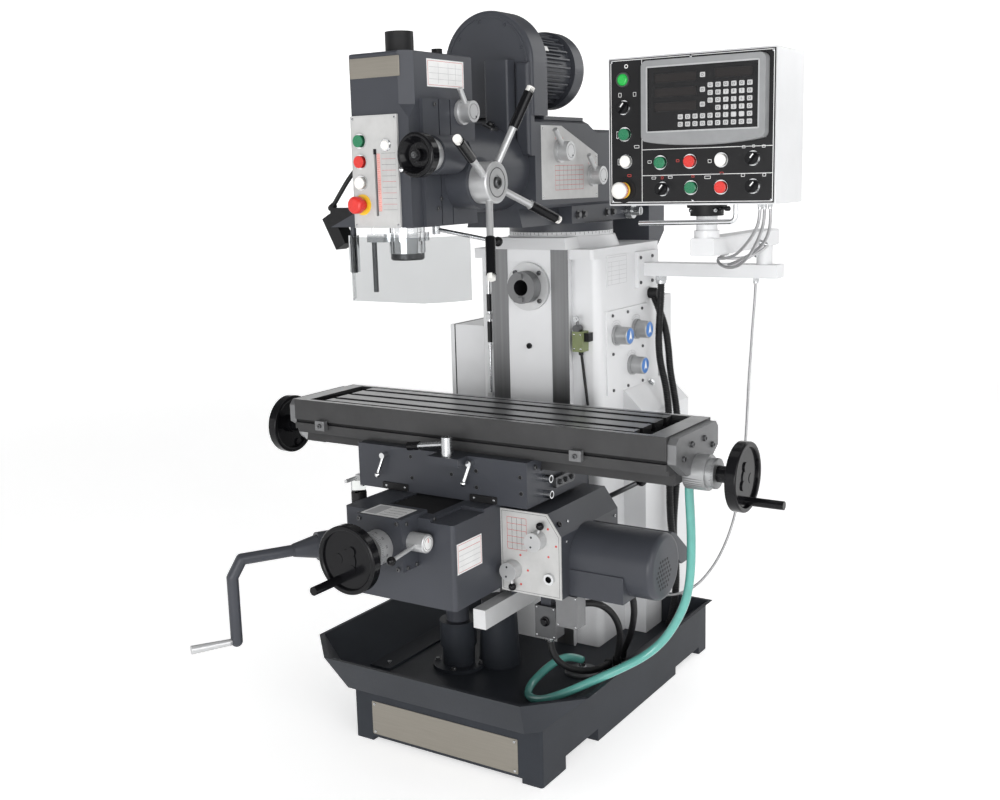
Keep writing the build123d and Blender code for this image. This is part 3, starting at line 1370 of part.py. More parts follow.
def vertical_spindle():
    low = HEAD_BOTTOM - QUILL_SHOW
    bottom = low - RUN_GAP - SPINDLE_NOSE_LENGTH
    spindle = bar_z(SPINDLE_RADIUS, 0, SPINDLE_Y, (bottom, low + QUILL_LENGTH))
    spindle += bar_z(SPINDLE_NOSE_RADIUS, 0, SPINDLE_Y, (bottom, low - RUN_GAP))
    spindle = chamfer(spindle.edges().group_by(Axis.Z)[0], 3)
    mouth = (0, SPINDLE_Y, bottom)
    deep = (0, SPINDLE_Y, bottom + SPINDLE_TAPER_DEPTH)
    return spindle - cone(SPINDLE_TAPER_RADIUS, SPINDLE_TAPER_RADIUS * 0.6, mouth, deep)


def capstan():
    """Hub with four leaning arms, each with a black grip and a pale tip."""
    back = head_side + CAPSTAN_BOSS_LENGTH + RUN_GAP
    front = back + HUB_LENGTH
    hub = bar_x(HUB_RADIUS, (back, front), CAPSTAN_Y, CAPSTAN_Z)
    hub = fillet(hub.edges().filter_by(GeomType.CIRCLE).sort_by(Axis.X)[-1], 4)
    hub += bar_x(HUB_SHAFT_RADIUS, (head_side + 2, back + 1), CAPSTAN_Y, CAPSTAN_Z)
    hub -= bar_x(HUB_RADIUS / 3, (front - 4, front), CAPSTAN_Y, CAPSTAN_Z)
    pieces = [hub]
    middle = Vector(back + HUB_LENGTH / 2, CAPSTAN_Y, CAPSTAN_Z)
    for step in range(ARM_COUNT):
        turn = math.radians(ARM_PHASE + 360 / ARM_COUNT * step)
        out = Vector(ARM_LEAN, ARM_RADIAL * math.cos(turn), ARM_RADIAL * math.sin(turn))
        unit = out.normalized()
        end = middle + out
        grip_start = end - unit * GRIP_LENGTH
        arm = rod(ARM_ROD_RADIUS, tuple(middle + unit * HUB_RADIUS * 0.8), tuple(grip_start))
        pieces[0] = pieces[0] + arm
        pieces.append(rod(GRIP_RADIUS, tuple(grip_start), tuple(end)))
        tip = rod(TIP_RADIUS, tuple(end), tuple(end + unit * TIP_LENGTH))
        pieces.append(tip)
    return pieces


def fine_wheel():
    front = HEAD_FRONT + FINE_SETBACK - FINE_COLLAR_LENGTH - RUN_GAP
    wheel = bar_y(FINE_WHEEL_RADIUS, FINE_X, (front - FINE_WHEEL_THICK, front), FINE_Z)
    wheel = fillet(wheel.edges().filter_by(GeomType.CIRCLE), 5)
    wheel -= cone(
        FINE_WHEEL_RADIUS * 0.82, FINE_WHEEL_RADIUS * 0.55, (FINE_X, front - FINE_WHEEL_THICK, FINE_Z),
        (FINE_X, front - FINE_WHEEL_THICK * 0.45, FINE_Z))
    wheel += bar_y(14, FINE_X, (front - FINE_WHEEL_THICK * 0.9, front - 8), FINE_Z)
    at = FINE_WHEEL_RADIUS * 0.72
    grip = bar_y(7, FINE_X - at * 0.5, (front - FINE_WHEEL_THICK - 26, front - 8), FINE_Z - at * 0.87)
    return wheel + grip


def chip_guard():
    """Folded sheet round the spindle nose, on a sleeve that turns on the head's pin."""
    top = HEAD_BOTTOM - GUARD_TOP_DROP
    low = top - GUARD_HEIGHT
    px, py = GUARD_PIVOT
    half = GUARD_THICK / 2
    points = [(px, py)] + list(GUARD_LINE)
    sheet = None
    for start, end in zip(points, points[1:]):
        run = Vector(*end) - Vector(*start)
        angle = math.degrees(math.atan2(run.Y, run.X))
        middle = Pos((start[0] + end[0]) / 2, (start[1] + end[1]) / 2, (top + low) / 2)
        leaf = middle * Rot(0, 0, angle) * Box(run.length, GUARD_THICK, GUARD_HEIGHT)
        bend = bar_z(half, end[0], end[1], (low, top))
        sheet = leaf + bend if sheet is None else sheet + leaf + bend
    sleeve = bar_z(GUARD_PIN_RADIUS + 6, px, py, (low + 62, top))
    body = sheet + sleeve
    return body - bar_z(GUARD_PIN_RADIUS + FIT_GAP, px, py, (low, top))


def knee_casting():
    side = knee_side
    rear = WAY_FACE_Y - WAY_GAP
    points = (
        (KNEE_FRONT, knee_top),
        (KNEE_FRONT, KNEE_BOTTOM),
        (rear - KNEE_REAR_LENGTH, KNEE_BOTTOM),
        (rear - KNEE_REAR_LENGTH / 2, KNEE_BOTTOM - KNEE_REAR_DROP),
        (rear, KNEE_BOTTOM - KNEE_REAR_DROP),
        (rear, knee_top),
    )
    body = prism_x(points, (-side, side))
    body = fillet(body.edges().filter_by(Axis.Z).group_by(Axis.Y)[0], KNEE_EDGE)
    slab_y = (KNEE_FRONT, SADDLE_FRONT - LEDGE_DEPTH)
    body -= block((KNEE_SLAB_X, side), slab_y, (knee_top - KNEE_SLAB_DROP, knee_top))
    half = WAY_WIDTH / 2
    low = KNEE_BOTTOM - KNEE_REAR_DROP
    for sign in (-1, 1):
        cheek = (
            (sign * side, rear - 1),
            (sign * side, rear + KNEE_CHEEK),
            (sign * (half - WAY_UNDERCUT * KNEE_CHEEK / WAY_DEPTH + RUN_GAP), rear + KNEE_CHEEK),
            (sign * (half + RUN_GAP), rear),
            (sign * (half + RUN_GAP), rear - 1),
        )
        body += prism_z(cheek, (low, knee_top))
    floor = knee_top - KNEE_CHANNEL_DEPTH
    mouth = KNEE_CHANNEL / 2 - KNEE_UNDERCUT
    channel = dovetail(0, mouth, KNEE_CHANNEL / 2, knee_top, floor, floor, knee_top)
    body -= prism_y(channel, (KNEE_FRONT + CHANNEL_STOP, rear))
    nose = block(
        (NOSE_X - NOSE_WIDTH / 2, NOSE_X + NOSE_WIDTH / 2), (nose_front, KNEE_FRONT + NOSE_BACK),
        (knee_top - NOSE_HEIGHT, knee_top + NOSE_RISE))
    body += fillet(nose.edges().filter_by(Axis.Y), NOSE_RISE * 0.4)
    body += rod(CRANK_BOSS_RADIUS, crank_point(-CRANK_BOSS_LENGTH), crank_point(-SEAT_GAP))
    body -= rod(WHEEL_SHAFT_RADIUS + FIT_GAP, crank_point(-CRANK_BOSS_LENGTH * 0.7), crank_point(0))
    dial_y = (nose_front - CROSS_DIAL_LENGTH, nose_front)
    dial = bar_y(CROSS_DIAL_RADIUS, NOSE_X, dial_y, CROSS_Z)
    dial -= bar_y(WHEEL_SHAFT_RADIUS + FIT_GAP, NOSE_X, dial_y, CROSS_Z)
    jack = bar_z(JACK_TUBE_RADIUS, JACK_X, JACK_Y, (JACK_TUBE_BOTTOM, KNEE_BOTTOM))
    return [body, dial, way_cover(floor), jack]


def way_cover(floor):
    """Folded cover lying in the knee channel in front of the saddle."""
    half = KNEE_CHANNEL / 2 - KNEE_UNDERCUT - COVER_FOLD_DEPTH / 2
    start = KNEE_FRONT + CHANNEL_STOP + SEAT_GAP
    pitch = COVER_PLATE_LENGTH / COVER_FOLDS
    points = [(start, floor + SEAT_GAP)]
    for step in range(COVER_FOLDS):
        y = start + pitch * step
        points.append((y, floor + COVER_PLATE_THICK - COVER_FOLD_DEPTH))
        points.append((y + pitch / 2, floor + COVER_PLATE_THICK))
    points.append((start + COVER_PLATE_LENGTH, floor + COVER_PLATE_THICK - COVER_FOLD_DEPTH))
    points.append((start + COVER_PLATE_LENGTH, floor + SEAT_GAP))
    return prism_x(points, (-half, half))


def crank_point(along, drop=0):
    """A point on the crank's shaft line, measured outward from its mouth."""
    turn = math.radians(CRANK_ANGLE)
    x, y, z = CRANK_MOUTH
    return (x - along * math.cos(turn), y - along * math.sin(turn), z - drop)


def crank():
    hub = cone(CRANK_HUB_RADIUS, CRANK_BAR_RADIUS + 2, crank_point(0), crank_point(CRANK_HUB_LENGTH))
    shaft = rod(WHEEL_SHAFT_RADIUS, crank_point(-CRANK_BOSS_LENGTH * 0.6), crank_point(1))
    reach = CRANK_HUB_LENGTH + CRANK_BAR_LENGTH
    corner = crank_point(reach)
    low = crank_point(reach + CRANK_BEND * 0.6, CRANK_BEND)
    foot = crank_point(reach + CRANK_BEND * 0.6, CRANK_ARM)
    arm = rod(CRANK_BAR_RADIUS, crank_point(CRANK_HUB_LENGTH - 1), corner)
    arm += ball(CRANK_BAR_RADIUS, corner) + rod(CRANK_BAR_RADIUS, corner, low)
    arm += ball(CRANK_BAR_RADIUS, low) + rod(CRANK_BAR_RADIUS, low, foot)
    arm += ball(CRANK_BAR_RADIUS, foot)
    end = crank_point(reach + CRANK_BEND * 0.6 + CRANK_GRIP_LENGTH, CRANK_ARM)
    return hub + shaft + arm + cone(CRANK_GRIP_RADIUS - 3, CRANK_GRIP_RADIUS, foot, end)


def feed_gearbox():
    """Gearbox with its front plate, the flange motor and the trip gear under it."""
    left = knee_side + SEAT_GAP
    top = BOX_BOTTOM + BOX_HEIGHT
    outline = (
        (left, BOX_BOTTOM),
        (box_right, BOX_BOTTOM),
        (box_right, top - BOX_CUT_HEIGHT),
        (box_right - BOX_CUT_WIDTH, top),
        (left, top),
    )
    box = prism_y(outline, (BOX_FRONT, BOX_FRONT + BOX_LENGTH))
    plate = prism_y(outline, (BOX_FRONT - FEED_PLATE_THICK, BOX_FRONT))
    sx, sz = FEED_SOCKET
    face = BOX_FRONT - FEED_PLATE_THICK
    plate += bar_y(SOCKET_RADIUS, sx, (face - 10, face), sz)
    plate -= bar_y(SOCKET_RADIUS * 0.6, sx, (face - 10, face - 1), sz)
    end = box_right + FEED_MOTOR_LENGTH
    motor = bar_x(FEED_MOTOR_RADIUS, (box_right, end), FEED_MOTOR_Y, FEED_MOTOR_Z)
    motor = fillet(motor.edges().filter_by(GeomType.CIRCLE).sort_by(Axis.X)[-1], FEED_MOTOR_EDGE)
    hood = [(FEED_MOTOR_Y + y, FEED_MOTOR_Z + z) for y, z in HOOD_OUTLINE]
    motor += prism_x(hood, (box_right, end - HOOD_END))
    motor += block(
        (box_right, box_right + MOTOR_FOOT_LENGTH),
        (FEED_MOTOR_Y - MOTOR_FOOT_FRONT, FEED_MOTOR_Y + MOTOR_FOOT_REAR),
        (BOX_BOTTOM + MOTOR_FOOT_GAP, FEED_MOTOR_Z - MOTOR_FOOT_DROP))
    wide, tall = TRIP_BAR
    bar_top = BOX_BOTTOM - TRIP_BAR_DROP
    bar = block(
        (TRIP_BAR_X, TRIP_BAR_X + wide), (TRIP_BAR_FRONT, TRIP_BAR_FRONT + TRIP_BAR_LENGTH),
        (bar_top - tall, bar_top))
    hanger = block(
        (left, TRIP_BAR_X + wide), (BOX_FRONT + HANGER_BACK[0], BOX_FRONT + HANGER_BACK[1]),
        (bar_top - 1, BOX_BOTTOM))
    w, d, h = SWITCH_BOX
    front = BOX_FRONT + SWITCH_BOX_BACK
    top = BOX_BOTTOM - SWITCH_BOX_DROP
    boxes = block((SWITCH_BOX_X, SWITCH_BOX_X + w), (front, front + d), (top - h, top))
    left = SWITCH_BOX_X + SWITCH_STEM_SIDE
    front += SWITCH_STEM_BACK
    boxes += block((left, left + SWITCH_STEM), (front, front + SWITCH_STEM_DEPTH), (top - 1, BOX_BOTTOM))
    front = BOX_FRONT + SECOND_BOX_BACK
    second = block((SECOND_BOX_X, SECOND_BOX_X + w), (front, front + d), (BOX_BOTTOM - h, BOX_BOTTOM))
    return [box, plate, motor, bar + hanger, boxes, second]


def feed_knob(x, z, lean):
    """A round knob facing the operator, with a short lever and a black ball."""
    seat = BOX_FRONT - FEED_PLATE_THICK - SEAT_GAP
    knob = bar_y(FEED_KNOB_RADIUS, x, (seat - FEED_KNOB_LENGTH, seat), z)
    y = seat - FEED_KNOB_LENGTH / 2
    turn = math.radians(lean)
    end = (x + FEED_KNOB_LEVER * math.sin(turn), y, z + FEED_KNOB_LEVER * math.cos(turn))
    return knob + rod(4, (x, y, z), end) + ball(BALL_RADIUS, end)


def knee_clamp():
    x, y, z = CLAMP_PIVOT
    start = knee_side + SEAT_GAP
    hub = bar_x(CLAMP_HUB_RADIUS, (start, start + CLAMP_HUB_LENGTH), y, z)
    middle = (start + CLAMP_HUB_LENGTH / 2, y, z)
    return hub + rod(CLAMP_ROD_RADIUS, middle, CLAMP_BALL) + ball(CLAMP_BALL_RADIUS, CLAMP_BALL)


def nose_lever():
    face = NOSE_X + NOSE_WIDTH / 2 + SEAT_GAP
    knob = bar_x(NOSE_KNOB_RADIUS, (face, face + NOSE_KNOB_LENGTH), NOSE_LEVER_Y, NOSE_LEVER_Z)
    knob = chamfer(knob.edges().filter_by(GeomType.CIRCLE).sort_by(Axis.X)[-1], 2)
    x = face + NOSE_KNOB_LENGTH / 2
    start = (x, NOSE_LEVER_Y, NOSE_LEVER_Z)
    end = (x, NOSE_LEVER_Y - NOSE_LEVER_REACH, NOSE_LEVER_Z - NOSE_LEVER_DROP)
    return knob + rod(5, start, end) + ball(BALL_RADIUS + 1, end)


def handwheel():
    """A dished handwheel about Z, outer face up at +Z, centred on its rim's middle."""
    half = WHEEL_THICK / 2
    rim = Cylinder(WHEEL_RADIUS, WHEEL_THICK) - Cylinder(WHEEL_RADIUS - WHEEL_RIM, WHEEL_THICK)
    rim = fillet(rim.edges().filter_by(GeomType.CIRCLE), 4)
    web_top = half - WHEEL_DISH
    web = Pos(0, 0, web_top - WHEEL_WEB / 2) * Cylinder(WHEEL_RADIUS - WHEEL_RIM / 2, WHEEL_WEB)
    hub = Pos(0, 0, -WHEEL_WEB / 2) * Cylinder(WHEEL_HUB_RADIUS, WHEEL_THICK)
    wheel = rim + web + hub
    for step in range(WHEEL_LOBES):
        lobe = Pos(WHEEL_LOBE_AT, 0, half - WHEEL_DISH) * Cylinder(WHEEL_LOBE_RADIUS, WHEEL_DISH)
        wheel += Rot(0, 0, 180 / WHEEL_LOBES + 360 / WHEEL_LOBES * step) * lobe
    grip = Pos(WHEEL_GRIP_AT, 0, half + WHEEL_GRIP_LENGTH / 2 - WHEEL_THICK / 2)
    return wheel + grip * Cylinder(WHEEL_GRIP_RADIUS, WHEEL_GRIP_LENGTH + WHEEL_THICK / 2)


def cross_wheel():
    back = nose_front - CROSS_DIAL_LENGTH - RUN_GAP
    middle = back - CROSS_WHEEL_STAND - WHEEL_THICK / 2
    wheel = Pos(NOSE_X, middle, CROSS_Z) * Rot(90, 0, 0) * Rot(0, 0, CROSS_WHEEL_TURN) * handwheel()
    return wheel + bar_y(WHEEL_SHAFT_RADIUS, NOSE_X, (middle, nose_front - 2), CROSS_Z)


def saddle():
    side = saddle_side
    body = block((-side, side), (SADDLE_FRONT, saddle_rear), (saddle_bottom, saddle_top))
    mouth = KNEE_CHANNEL / 2 - KNEE_UNDERCUT - WAY_GAP
    foot = KNEE_CHANNEL / 2 - WAY_GAP
    tongue = dovetail(
        0, mouth, foot, knee_top, knee_top - KNEE_CHANNEL_DEPTH,
        saddle_bottom - SADDLE_TONGUE, saddle_bottom + 1)
    body += prism_y(tongue, (SADDLE_FRONT + SADDLE_TONGUE_SETBACK, saddle_rear))
    floor = saddle_top - SADDLE_CHANNEL_DEPTH
    foot = SADDLE_CHANNEL / 2
    channel = dovetail(TABLE_Y, foot - TABLE_UNDERCUT, foot, saddle_top, floor, floor, saddle_top)
    body -= prism_x(channel, (-side, side))
    nut = block(
        (-NUT_LENGTH / 2, NUT_LENGTH / 2), (TABLE_Y - NUT_WIDTH / 2, TABLE_Y + NUT_WIDTH / 2),
        (floor, screw_z + SCREW_RADIUS + 5))
    nut -= bar_x(SCREW_RADIUS + RUN_GAP, (-NUT_LENGTH / 2, NUT_LENGTH / 2), TABLE_Y, screw_z)
    body += block(
        (LEDGE_X - LEDGE_WIDTH / 2, LEDGE_X + LEDGE_WIDTH / 2), (SADDLE_FRONT - LEDGE_DEPTH, SADDLE_FRONT),
        (saddle_top - LEDGE_THICK, saddle_top))
    for y, z in SADDLE_PLUGS:
        body += bar_x(PLUG_FACE_RADIUS, (side, side + PLUG_FACE_LENGTH), y, z)
    cup_top = saddle_bottom + LUBRICATOR_LIFT
    cup = bar_z(
        LUBRICATOR_RADIUS, LUBRICATOR_X, LUBRICATOR_Y, (cup_top - LUBRICATOR_HEIGHT, cup_top))
    wide, tall = LUBRICATOR_BRACKET
    cup += block(
        (LUBRICATOR_X, -side), (LUBRICATOR_Y - wide / 2, LUBRICATOR_Y + wide / 2),
        (cup_top - tall / 2, cup_top + tall / 2))
    cup += bar_y(
        LUBRICATOR_SPOUT_RADIUS, LUBRICATOR_X, (LUBRICATOR_Y - LUBRICATOR_SPOUT, LUBRICATOR_Y),
        cup_top + LUBRICATOR_SPOUT_RADIUS)
    return [body, nut, cup]


def lock_lever(x, z):
    """A thin clamp lever hanging from its stub on the saddle front."""
    seat = SADDLE_FRONT - SEAT_GAP
    stub = bar_y(LOCK_STUB_RADIUS, x, (seat - LOCK_STUB_LENGTH, seat), z)
    y = seat - LOCK_STUB_LENGTH / 2
    end = (x - LOCK_ROD_LENGTH * 0.3, y - 10, z - LOCK_ROD_LENGTH)
    return stub + rod(LOCK_ROD_RADIUS, (x, y, z), end) + ball(LOCK_ROD_RADIUS + 3, end)


def table_lever():
    low = saddle_top + SEAT_GAP
    y = SADDLE_FRONT - LEDGE_DEPTH / 2
    foot_radius, foot_height = TABLE_LEVER_FOOT
    body = bar_z(foot_radius, LEDGE_X, y, (low, low + foot_height))
    wide, tall = TABLE_LEVER_BLOCK
    middle = low + foot_height + tall / 2
    body += bar_z(wide / 2, LEDGE_X, y, (low + foot_height / 2, low + foot_height + tall))
    unit = Vector(-TABLE_LEVER_LENGTH, -TABLE_LEVER_RADIUS, -TABLE_LEVER_DROP).normalized()
    start = Vector(LEDGE_X, y, middle)
    end = start + unit * TABLE_LEVER_LENGTH
    grip_radius, grip_length = TABLE_LEVER_GRIP
    body += rod(TABLE_LEVER_RADIUS, tuple(start), tuple(end))
    grip_start = end - unit * grip_length / 3
    return body + rod(grip_radius, tuple(grip_start), tuple(grip_start + unit * grip_length))


def table_casting():
    x = (table_left, table_right)
    face_low = table_top - TABLE_FACE
    body = block(x, (table_front, table_rear), (face_low, table_top))
    body += block(x, (table_front + 12, table_rear - 12), (table_bottom, face_low))
    foot = SADDLE_CHANNEL / 2 - WAY_GAP
    low = table_bottom - TONGUE_DEPTH
    channel_floor = saddle_top - SADDLE_CHANNEL_DEPTH
    tongue = dovetail(
        TABLE_Y, foot - TABLE_UNDERCUT, foot, saddle_top, channel_floor, low, table_bottom + 1)
    body += prism_x(tongue, x)
    half = SCREW_SPACE / 2
    body -= block(x, (TABLE_Y - half, TABLE_Y + half), (low, screw_z + SCREW_RADIUS + 8))
    inner = (table_left + TROUGH_RIM, table_right - TROUGH_RIM)
    for place in (-1, 0, 1):
        y = TABLE_Y + place * SLOT_PITCH
        body -= block(inner, (y - SLOT_WIDTH / 2, y + SLOT_WIDTH / 2), (table_top - SLOT_DEPTH, table_top))
        floor = table_top - SLOT_DEPTH - SLOT_FOOT_DEPTH
        body -= block(
            inner, (y - SLOT_FOOT_WIDTH / 2, y + SLOT_FOOT_WIDTH / 2), (floor, table_top - SLOT_DEPTH))
    for sign in (-1, 1):
        y = TABLE_Y + sign * GUTTER_OFFSET
        body -= block(
            inner, (y - GUTTER_WIDTH / 2, y + GUTTER_WIDTH / 2), (table_top - GUTTER_DEPTH, table_top))
    trough_y = (table_front + TROUGH_SIDE, table_rear - TROUGH_SIDE)
    for start in (inner[0], inner[1] - TROUGH_LENGTH):
        body -= block((start, start + TROUGH_LENGTH), trough_y, (table_top - TROUGH_DEPTH, table_top))
    groove = table_top - DOG_GROOVE_DROP
    body -= block(x, (table_front, table_front + DOG_GROOVE_DEPTH), (groove - DOG_GROOVE, groove))
    return body


def table():
    pieces = [table_casting()]
    reach = BRACKET_THICK + HOUSING_LENGTH
    pieces.append(bar_x(SCREW_RADIUS, (table_left - reach, table_right + reach), TABLE_Y, screw_z))
    groove = table_top - DOG_GROOVE_DROP
    w, d, h = DOG_SIZE
    for place in DOG_PLACES:
        x = TABLE_OFFSET + place
        pieces.append(block(
            (x - w / 2, x + w / 2), (table_front - d, table_front - SEAT_GAP), (groove - h, groove + 4)))
    for sign, end in ((-1, table_left), (1, table_right)):
        pieces.append(end_bracket(sign, end))
    return pieces


def end_bracket(sign, end):
    """Bearing bracket and graduated dial on one end of the table."""
    half = BRACKET_WIDTH / 2
    top = table_top - BRACKET_TOP_DROP

    def span(start, length):
        return tuple(sorted((end + sign * start, end + sign * (start + length))))

    foot = BRACKET_FOOT / 2
    outline = (
        (TABLE_Y - half, top - BRACKET_EDGE),
        (TABLE_Y - half + BRACKET_EDGE, top),
        (TABLE_Y + half - BRACKET_EDGE, top),
        (TABLE_Y + half, top - BRACKET_EDGE),
        (TABLE_Y + half, top - BRACKET_SIDE),
        (TABLE_Y + foot, top - BRACKET_HEIGHT),
        (TABLE_Y - foot, top - BRACKET_HEIGHT),
        (TABLE_Y - half, top - BRACKET_SIDE),
    )
    plate = prism_x(outline, span(0, BRACKET_THICK))
    body = plate + bar_x(HOUSING_RADIUS, span(0, BRACKET_THICK + HOUSING_LENGTH), TABLE_Y, screw_z)
    dial_start = BRACKET_THICK + HOUSING_LENGTH
    body += bar_x(TABLE_DIAL_RADIUS, span(dial_start, TABLE_DIAL_LENGTH), TABLE_Y, screw_z)
    return body - bar_x(SCREW_RADIUS, span(0, dial_start + TABLE_DIAL_LENGTH), TABLE_Y, screw_z)


def table_wheel(sign):
    end = table_right if sign > 0 else table_left
    start = BRACKET_THICK + HOUSING_LENGTH + TABLE_DIAL_LENGTH
    middle = end + sign * (start + TABLE_WHEEL_STAND + WHEEL_THICK / 2)
    turn = TABLE_WHEEL_TURNS[sign]
    wheel = Pos(middle, TABLE_Y, screw_z) * Rot(0, 90 * sign, 0) * Rot(0, 0, turn) * handwheel()
    near = end + sign * (BRACKET_THICK + HOUSING_LENGTH + RUN_GAP)
    inner = tuple(sorted((near, middle)))
    outer = tuple(sorted((end + sign * (start + RUN_GAP), middle)))
    wheel += bar_x(SCREW_RADIUS - 2, inner, TABLE_Y, screw_z)
    return wheel + bar_x(SCREW_RADIUS + 6, outer, TABLE_Y, screw_z)


def route_radii(points):
    """The largest arc at each corner that its two runs allow."""
    steps = [Vector(*b) - Vector(*a) for a, b in zip(points, points[1:])]
    radii = []
    for before, after in zip(steps, steps[1:]):
        half_turn = math.radians(before.get_angle(after)) / 2
        radii.append(CORD_BEND_SHARE * min(before.length, after.length) / math.tan(half_turn))
    return radii


def cord(name, points, radius):
    """A round tube along straight runs joined by tangent arcs."""
    radii = route_radii(points)
    path = FilletPolyline(*points, radius=radii)
    tube = sweep(Plane(origin=points[0], z_dir=path % 0) * Circle(radius), path=path)
    share = tube.volume / (math.pi * radius ** 2 * path.length)
    print(name, "length", round(path.length), "radii", [round(r) for r in radii], "volume", round(share, 3))
    return tube


def cords(name, routes, radius):
    return [cord(name, points, radius) for points in routes]


def tray_hoses():
    return [cord("hose", HOSE_ROUTE, HOSE_RADIUS)] + cords("feed hose", FEED_HOSES, FEED_HOSE_RADIUS)


def column_cables():
    pieces = cords("conduit", CONDUIT_ROUTES, CONDUIT_RADIUS)
    pieces.append(cord("long cable", LONG_CABLE_ROUTE, CABLE_RADIUS))
    pieces.append(cord("switch cable", SWITCH_CABLE_ROUTE, CABLE_RADIUS))
    return pieces


def controls():
    made = {}
    seat = fascia_front - BUTTON_RING_THICK
    for name, place in PANEL_BUTTONS.items():
        made["button_" + name] = push_button(*panel_point(place), seat)
    for name, place in PANEL_SELECTORS.items():
        made["selector_" + name] = selector(*panel_point(place), seat)
    made["panel_stop"] = stop_button(*panel_point(PANEL_STOP), fascia_front - STOP_RING_THICK)
    head_seat = head_panel_front - BUTTON_RING_THICK
    for name, (x, z) in HEAD_BUTTONS.items():
        made["button_" + name] = push_button(x, HEAD_BOTTOM + z, head_seat)
    x, z = HEAD_STOP
    made["head_stop_mushroom"] = stop_button(x, HEAD_BOTTOM + z, head_panel_front - STOP_RING_THICK)
    return made


def build():
    made = {
        "base_casting": base_casting(),
        "column": [column()] + column_fittings() + service_covers(),
        "cabinet_door": cabinet_door(),
        "horizontal_spindle": horizontal_spindle(),
        "panel_swing_arm": swing_arm(),
        "panel_box": panel_box(),
        "panel_face": panel_face(),
        "turret": turret(),
        "ram_pinion": ram_pinion(),
        "ram_housing": ram_housing(),
        "drive_motor": drive_motor(),
        "head_casting": head_casting(),
        "head_panel": head_panel(),
        "quill": quill(),
        "vertical_spindle": vertical_spindle(),
        "capstan": capstan(),
        "fine_feed_wheel": fine_wheel(),
        "quill_lock_lever": quill_lock(),
        "chip_guard": chip_guard(),
        "knee_casting": knee_casting(),
        "feed_gearbox": feed_gearbox(),
        "cross_feed_wheel": cross_wheel(),
        "elevating_crank": crank(),
        "knee_clamp_lever": knee_clamp(),
        "knee_nose_lever": nose_lever(),
        "saddle": saddle(),
        "table_feed_lever": table_lever(),
        "table": table(),
        "table_wheel_left": table_wheel(-1),
        "table_wheel_right": table_wheel(1),
        "tray_hoses": tray_hoses(),
        "panel_cables": cords("cable", CABLE_ROUTES, CABLE_RADIUS),
        "column_cables": column_cables(),
        "head_cable": cord("head cable", HEAD_CABLE_ROUTE, HEAD_CABLE_RADIUS),
    }
    for number, place in enumerate(COLUMN_KNOBS, 1):
        made[f"column_knob_{number}"] = column_knob(place)
    for name, (y, z) in RAM_LEVERS.items():
        made[name] = lever_knob(ram_side, y, z, LEVER_LEAN, LEVER_ROD_LENGTH)
    head_face = head_side + SIDE_PLATE_THICK
    made["head_gear_lever"] = lever_knob(
        head_face, HEAD_LEVER_Y, HEAD_LEVER_Z, HEAD_LEVER_LEAN, HEAD_LEVER_LENGTH)
    for (name, (x, z)), lean in zip(FEED_KNOBS.items(), (20, 175)):
        made[name] = feed_knob(x, z, lean)
    for name, (x, z) in LOCK_LEVERS.items():
        made[name] = lock_lever(x, z)
    made.update(controls())
    return made


def main():
    os.makedirs("parts", exist_ok=True)
    for name, shape in build().items():
        solids = [s for piece in (shape if isinstance(shape, list) else [shape]) for s in piece.solids()]
        body = solids[0] if len(solids) == 1 else Compound(solids)
        export_step(body, f"parts/{name}.step")


main()
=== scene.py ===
import math
import bmesh
import bpy
import numpy as np
from mathutils import Matrix, Vector
from mathutils.bvhtree import BVHTree


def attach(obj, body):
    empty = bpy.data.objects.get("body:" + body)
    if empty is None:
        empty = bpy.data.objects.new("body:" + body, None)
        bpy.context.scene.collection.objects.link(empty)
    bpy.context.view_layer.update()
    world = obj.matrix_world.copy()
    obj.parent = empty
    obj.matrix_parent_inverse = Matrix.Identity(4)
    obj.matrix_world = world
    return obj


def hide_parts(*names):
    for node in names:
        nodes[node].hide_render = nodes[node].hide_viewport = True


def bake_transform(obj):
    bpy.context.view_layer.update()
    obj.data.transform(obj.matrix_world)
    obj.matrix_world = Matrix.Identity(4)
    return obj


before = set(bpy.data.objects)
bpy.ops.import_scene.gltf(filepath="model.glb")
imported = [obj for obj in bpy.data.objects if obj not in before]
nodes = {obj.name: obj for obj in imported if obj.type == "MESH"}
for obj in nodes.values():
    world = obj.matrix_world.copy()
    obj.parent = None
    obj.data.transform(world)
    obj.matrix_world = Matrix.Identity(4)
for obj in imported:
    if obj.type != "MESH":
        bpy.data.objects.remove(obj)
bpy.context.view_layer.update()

MM = 0.001
FRONT = Vector((0, -1, 0))
BACK = Vector((0, 1, 0))
RIGHT = Vector((1, 0, 0))
LEFT = Vector((-1, 0, 0))
UP = Vector((0, 0, 1))
DOWN = Vector((0, 0, -1))


def link(name, data):
    """A new object in the scene."""
    made = bpy.data.objects.new(name, data)
    bpy.context.scene.collection.objects.link(made)
    return made


# Camera at the photograph's place and angle
CAMERA_AT = (1.74005, -2.90514, 1.5279)
CAMERA_YAW = math.radians(-32.803)
CAMERA_PITCH = math.radians(10.739)
CAMERA_ROLL = math.radians(1.524)
CAMERA_LENS = 43.185
CAMERA_SENSOR = 36
CAMERA_REACH = 60


def make_camera():
    data = bpy.data.cameras.new("photo_camera")
    data.lens = CAMERA_LENS
    data.sensor_width = CAMERA_SENSOR
    data.clip_end = CAMERA_REACH
    camera = link("photo_camera", data)
    turn = Matrix.Rotation(-CAMERA_YAW, 4, "Z")
    turn @= Matrix.Rotation(math.pi / 2 - CAMERA_PITCH, 4, "X")
    turn @= Matrix.Rotation(-CAMERA_ROLL, 4, "Z")
    camera.matrix_world = Matrix.Translation(CAMERA_AT) @ turn
    bpy.context.scene.camera = camera


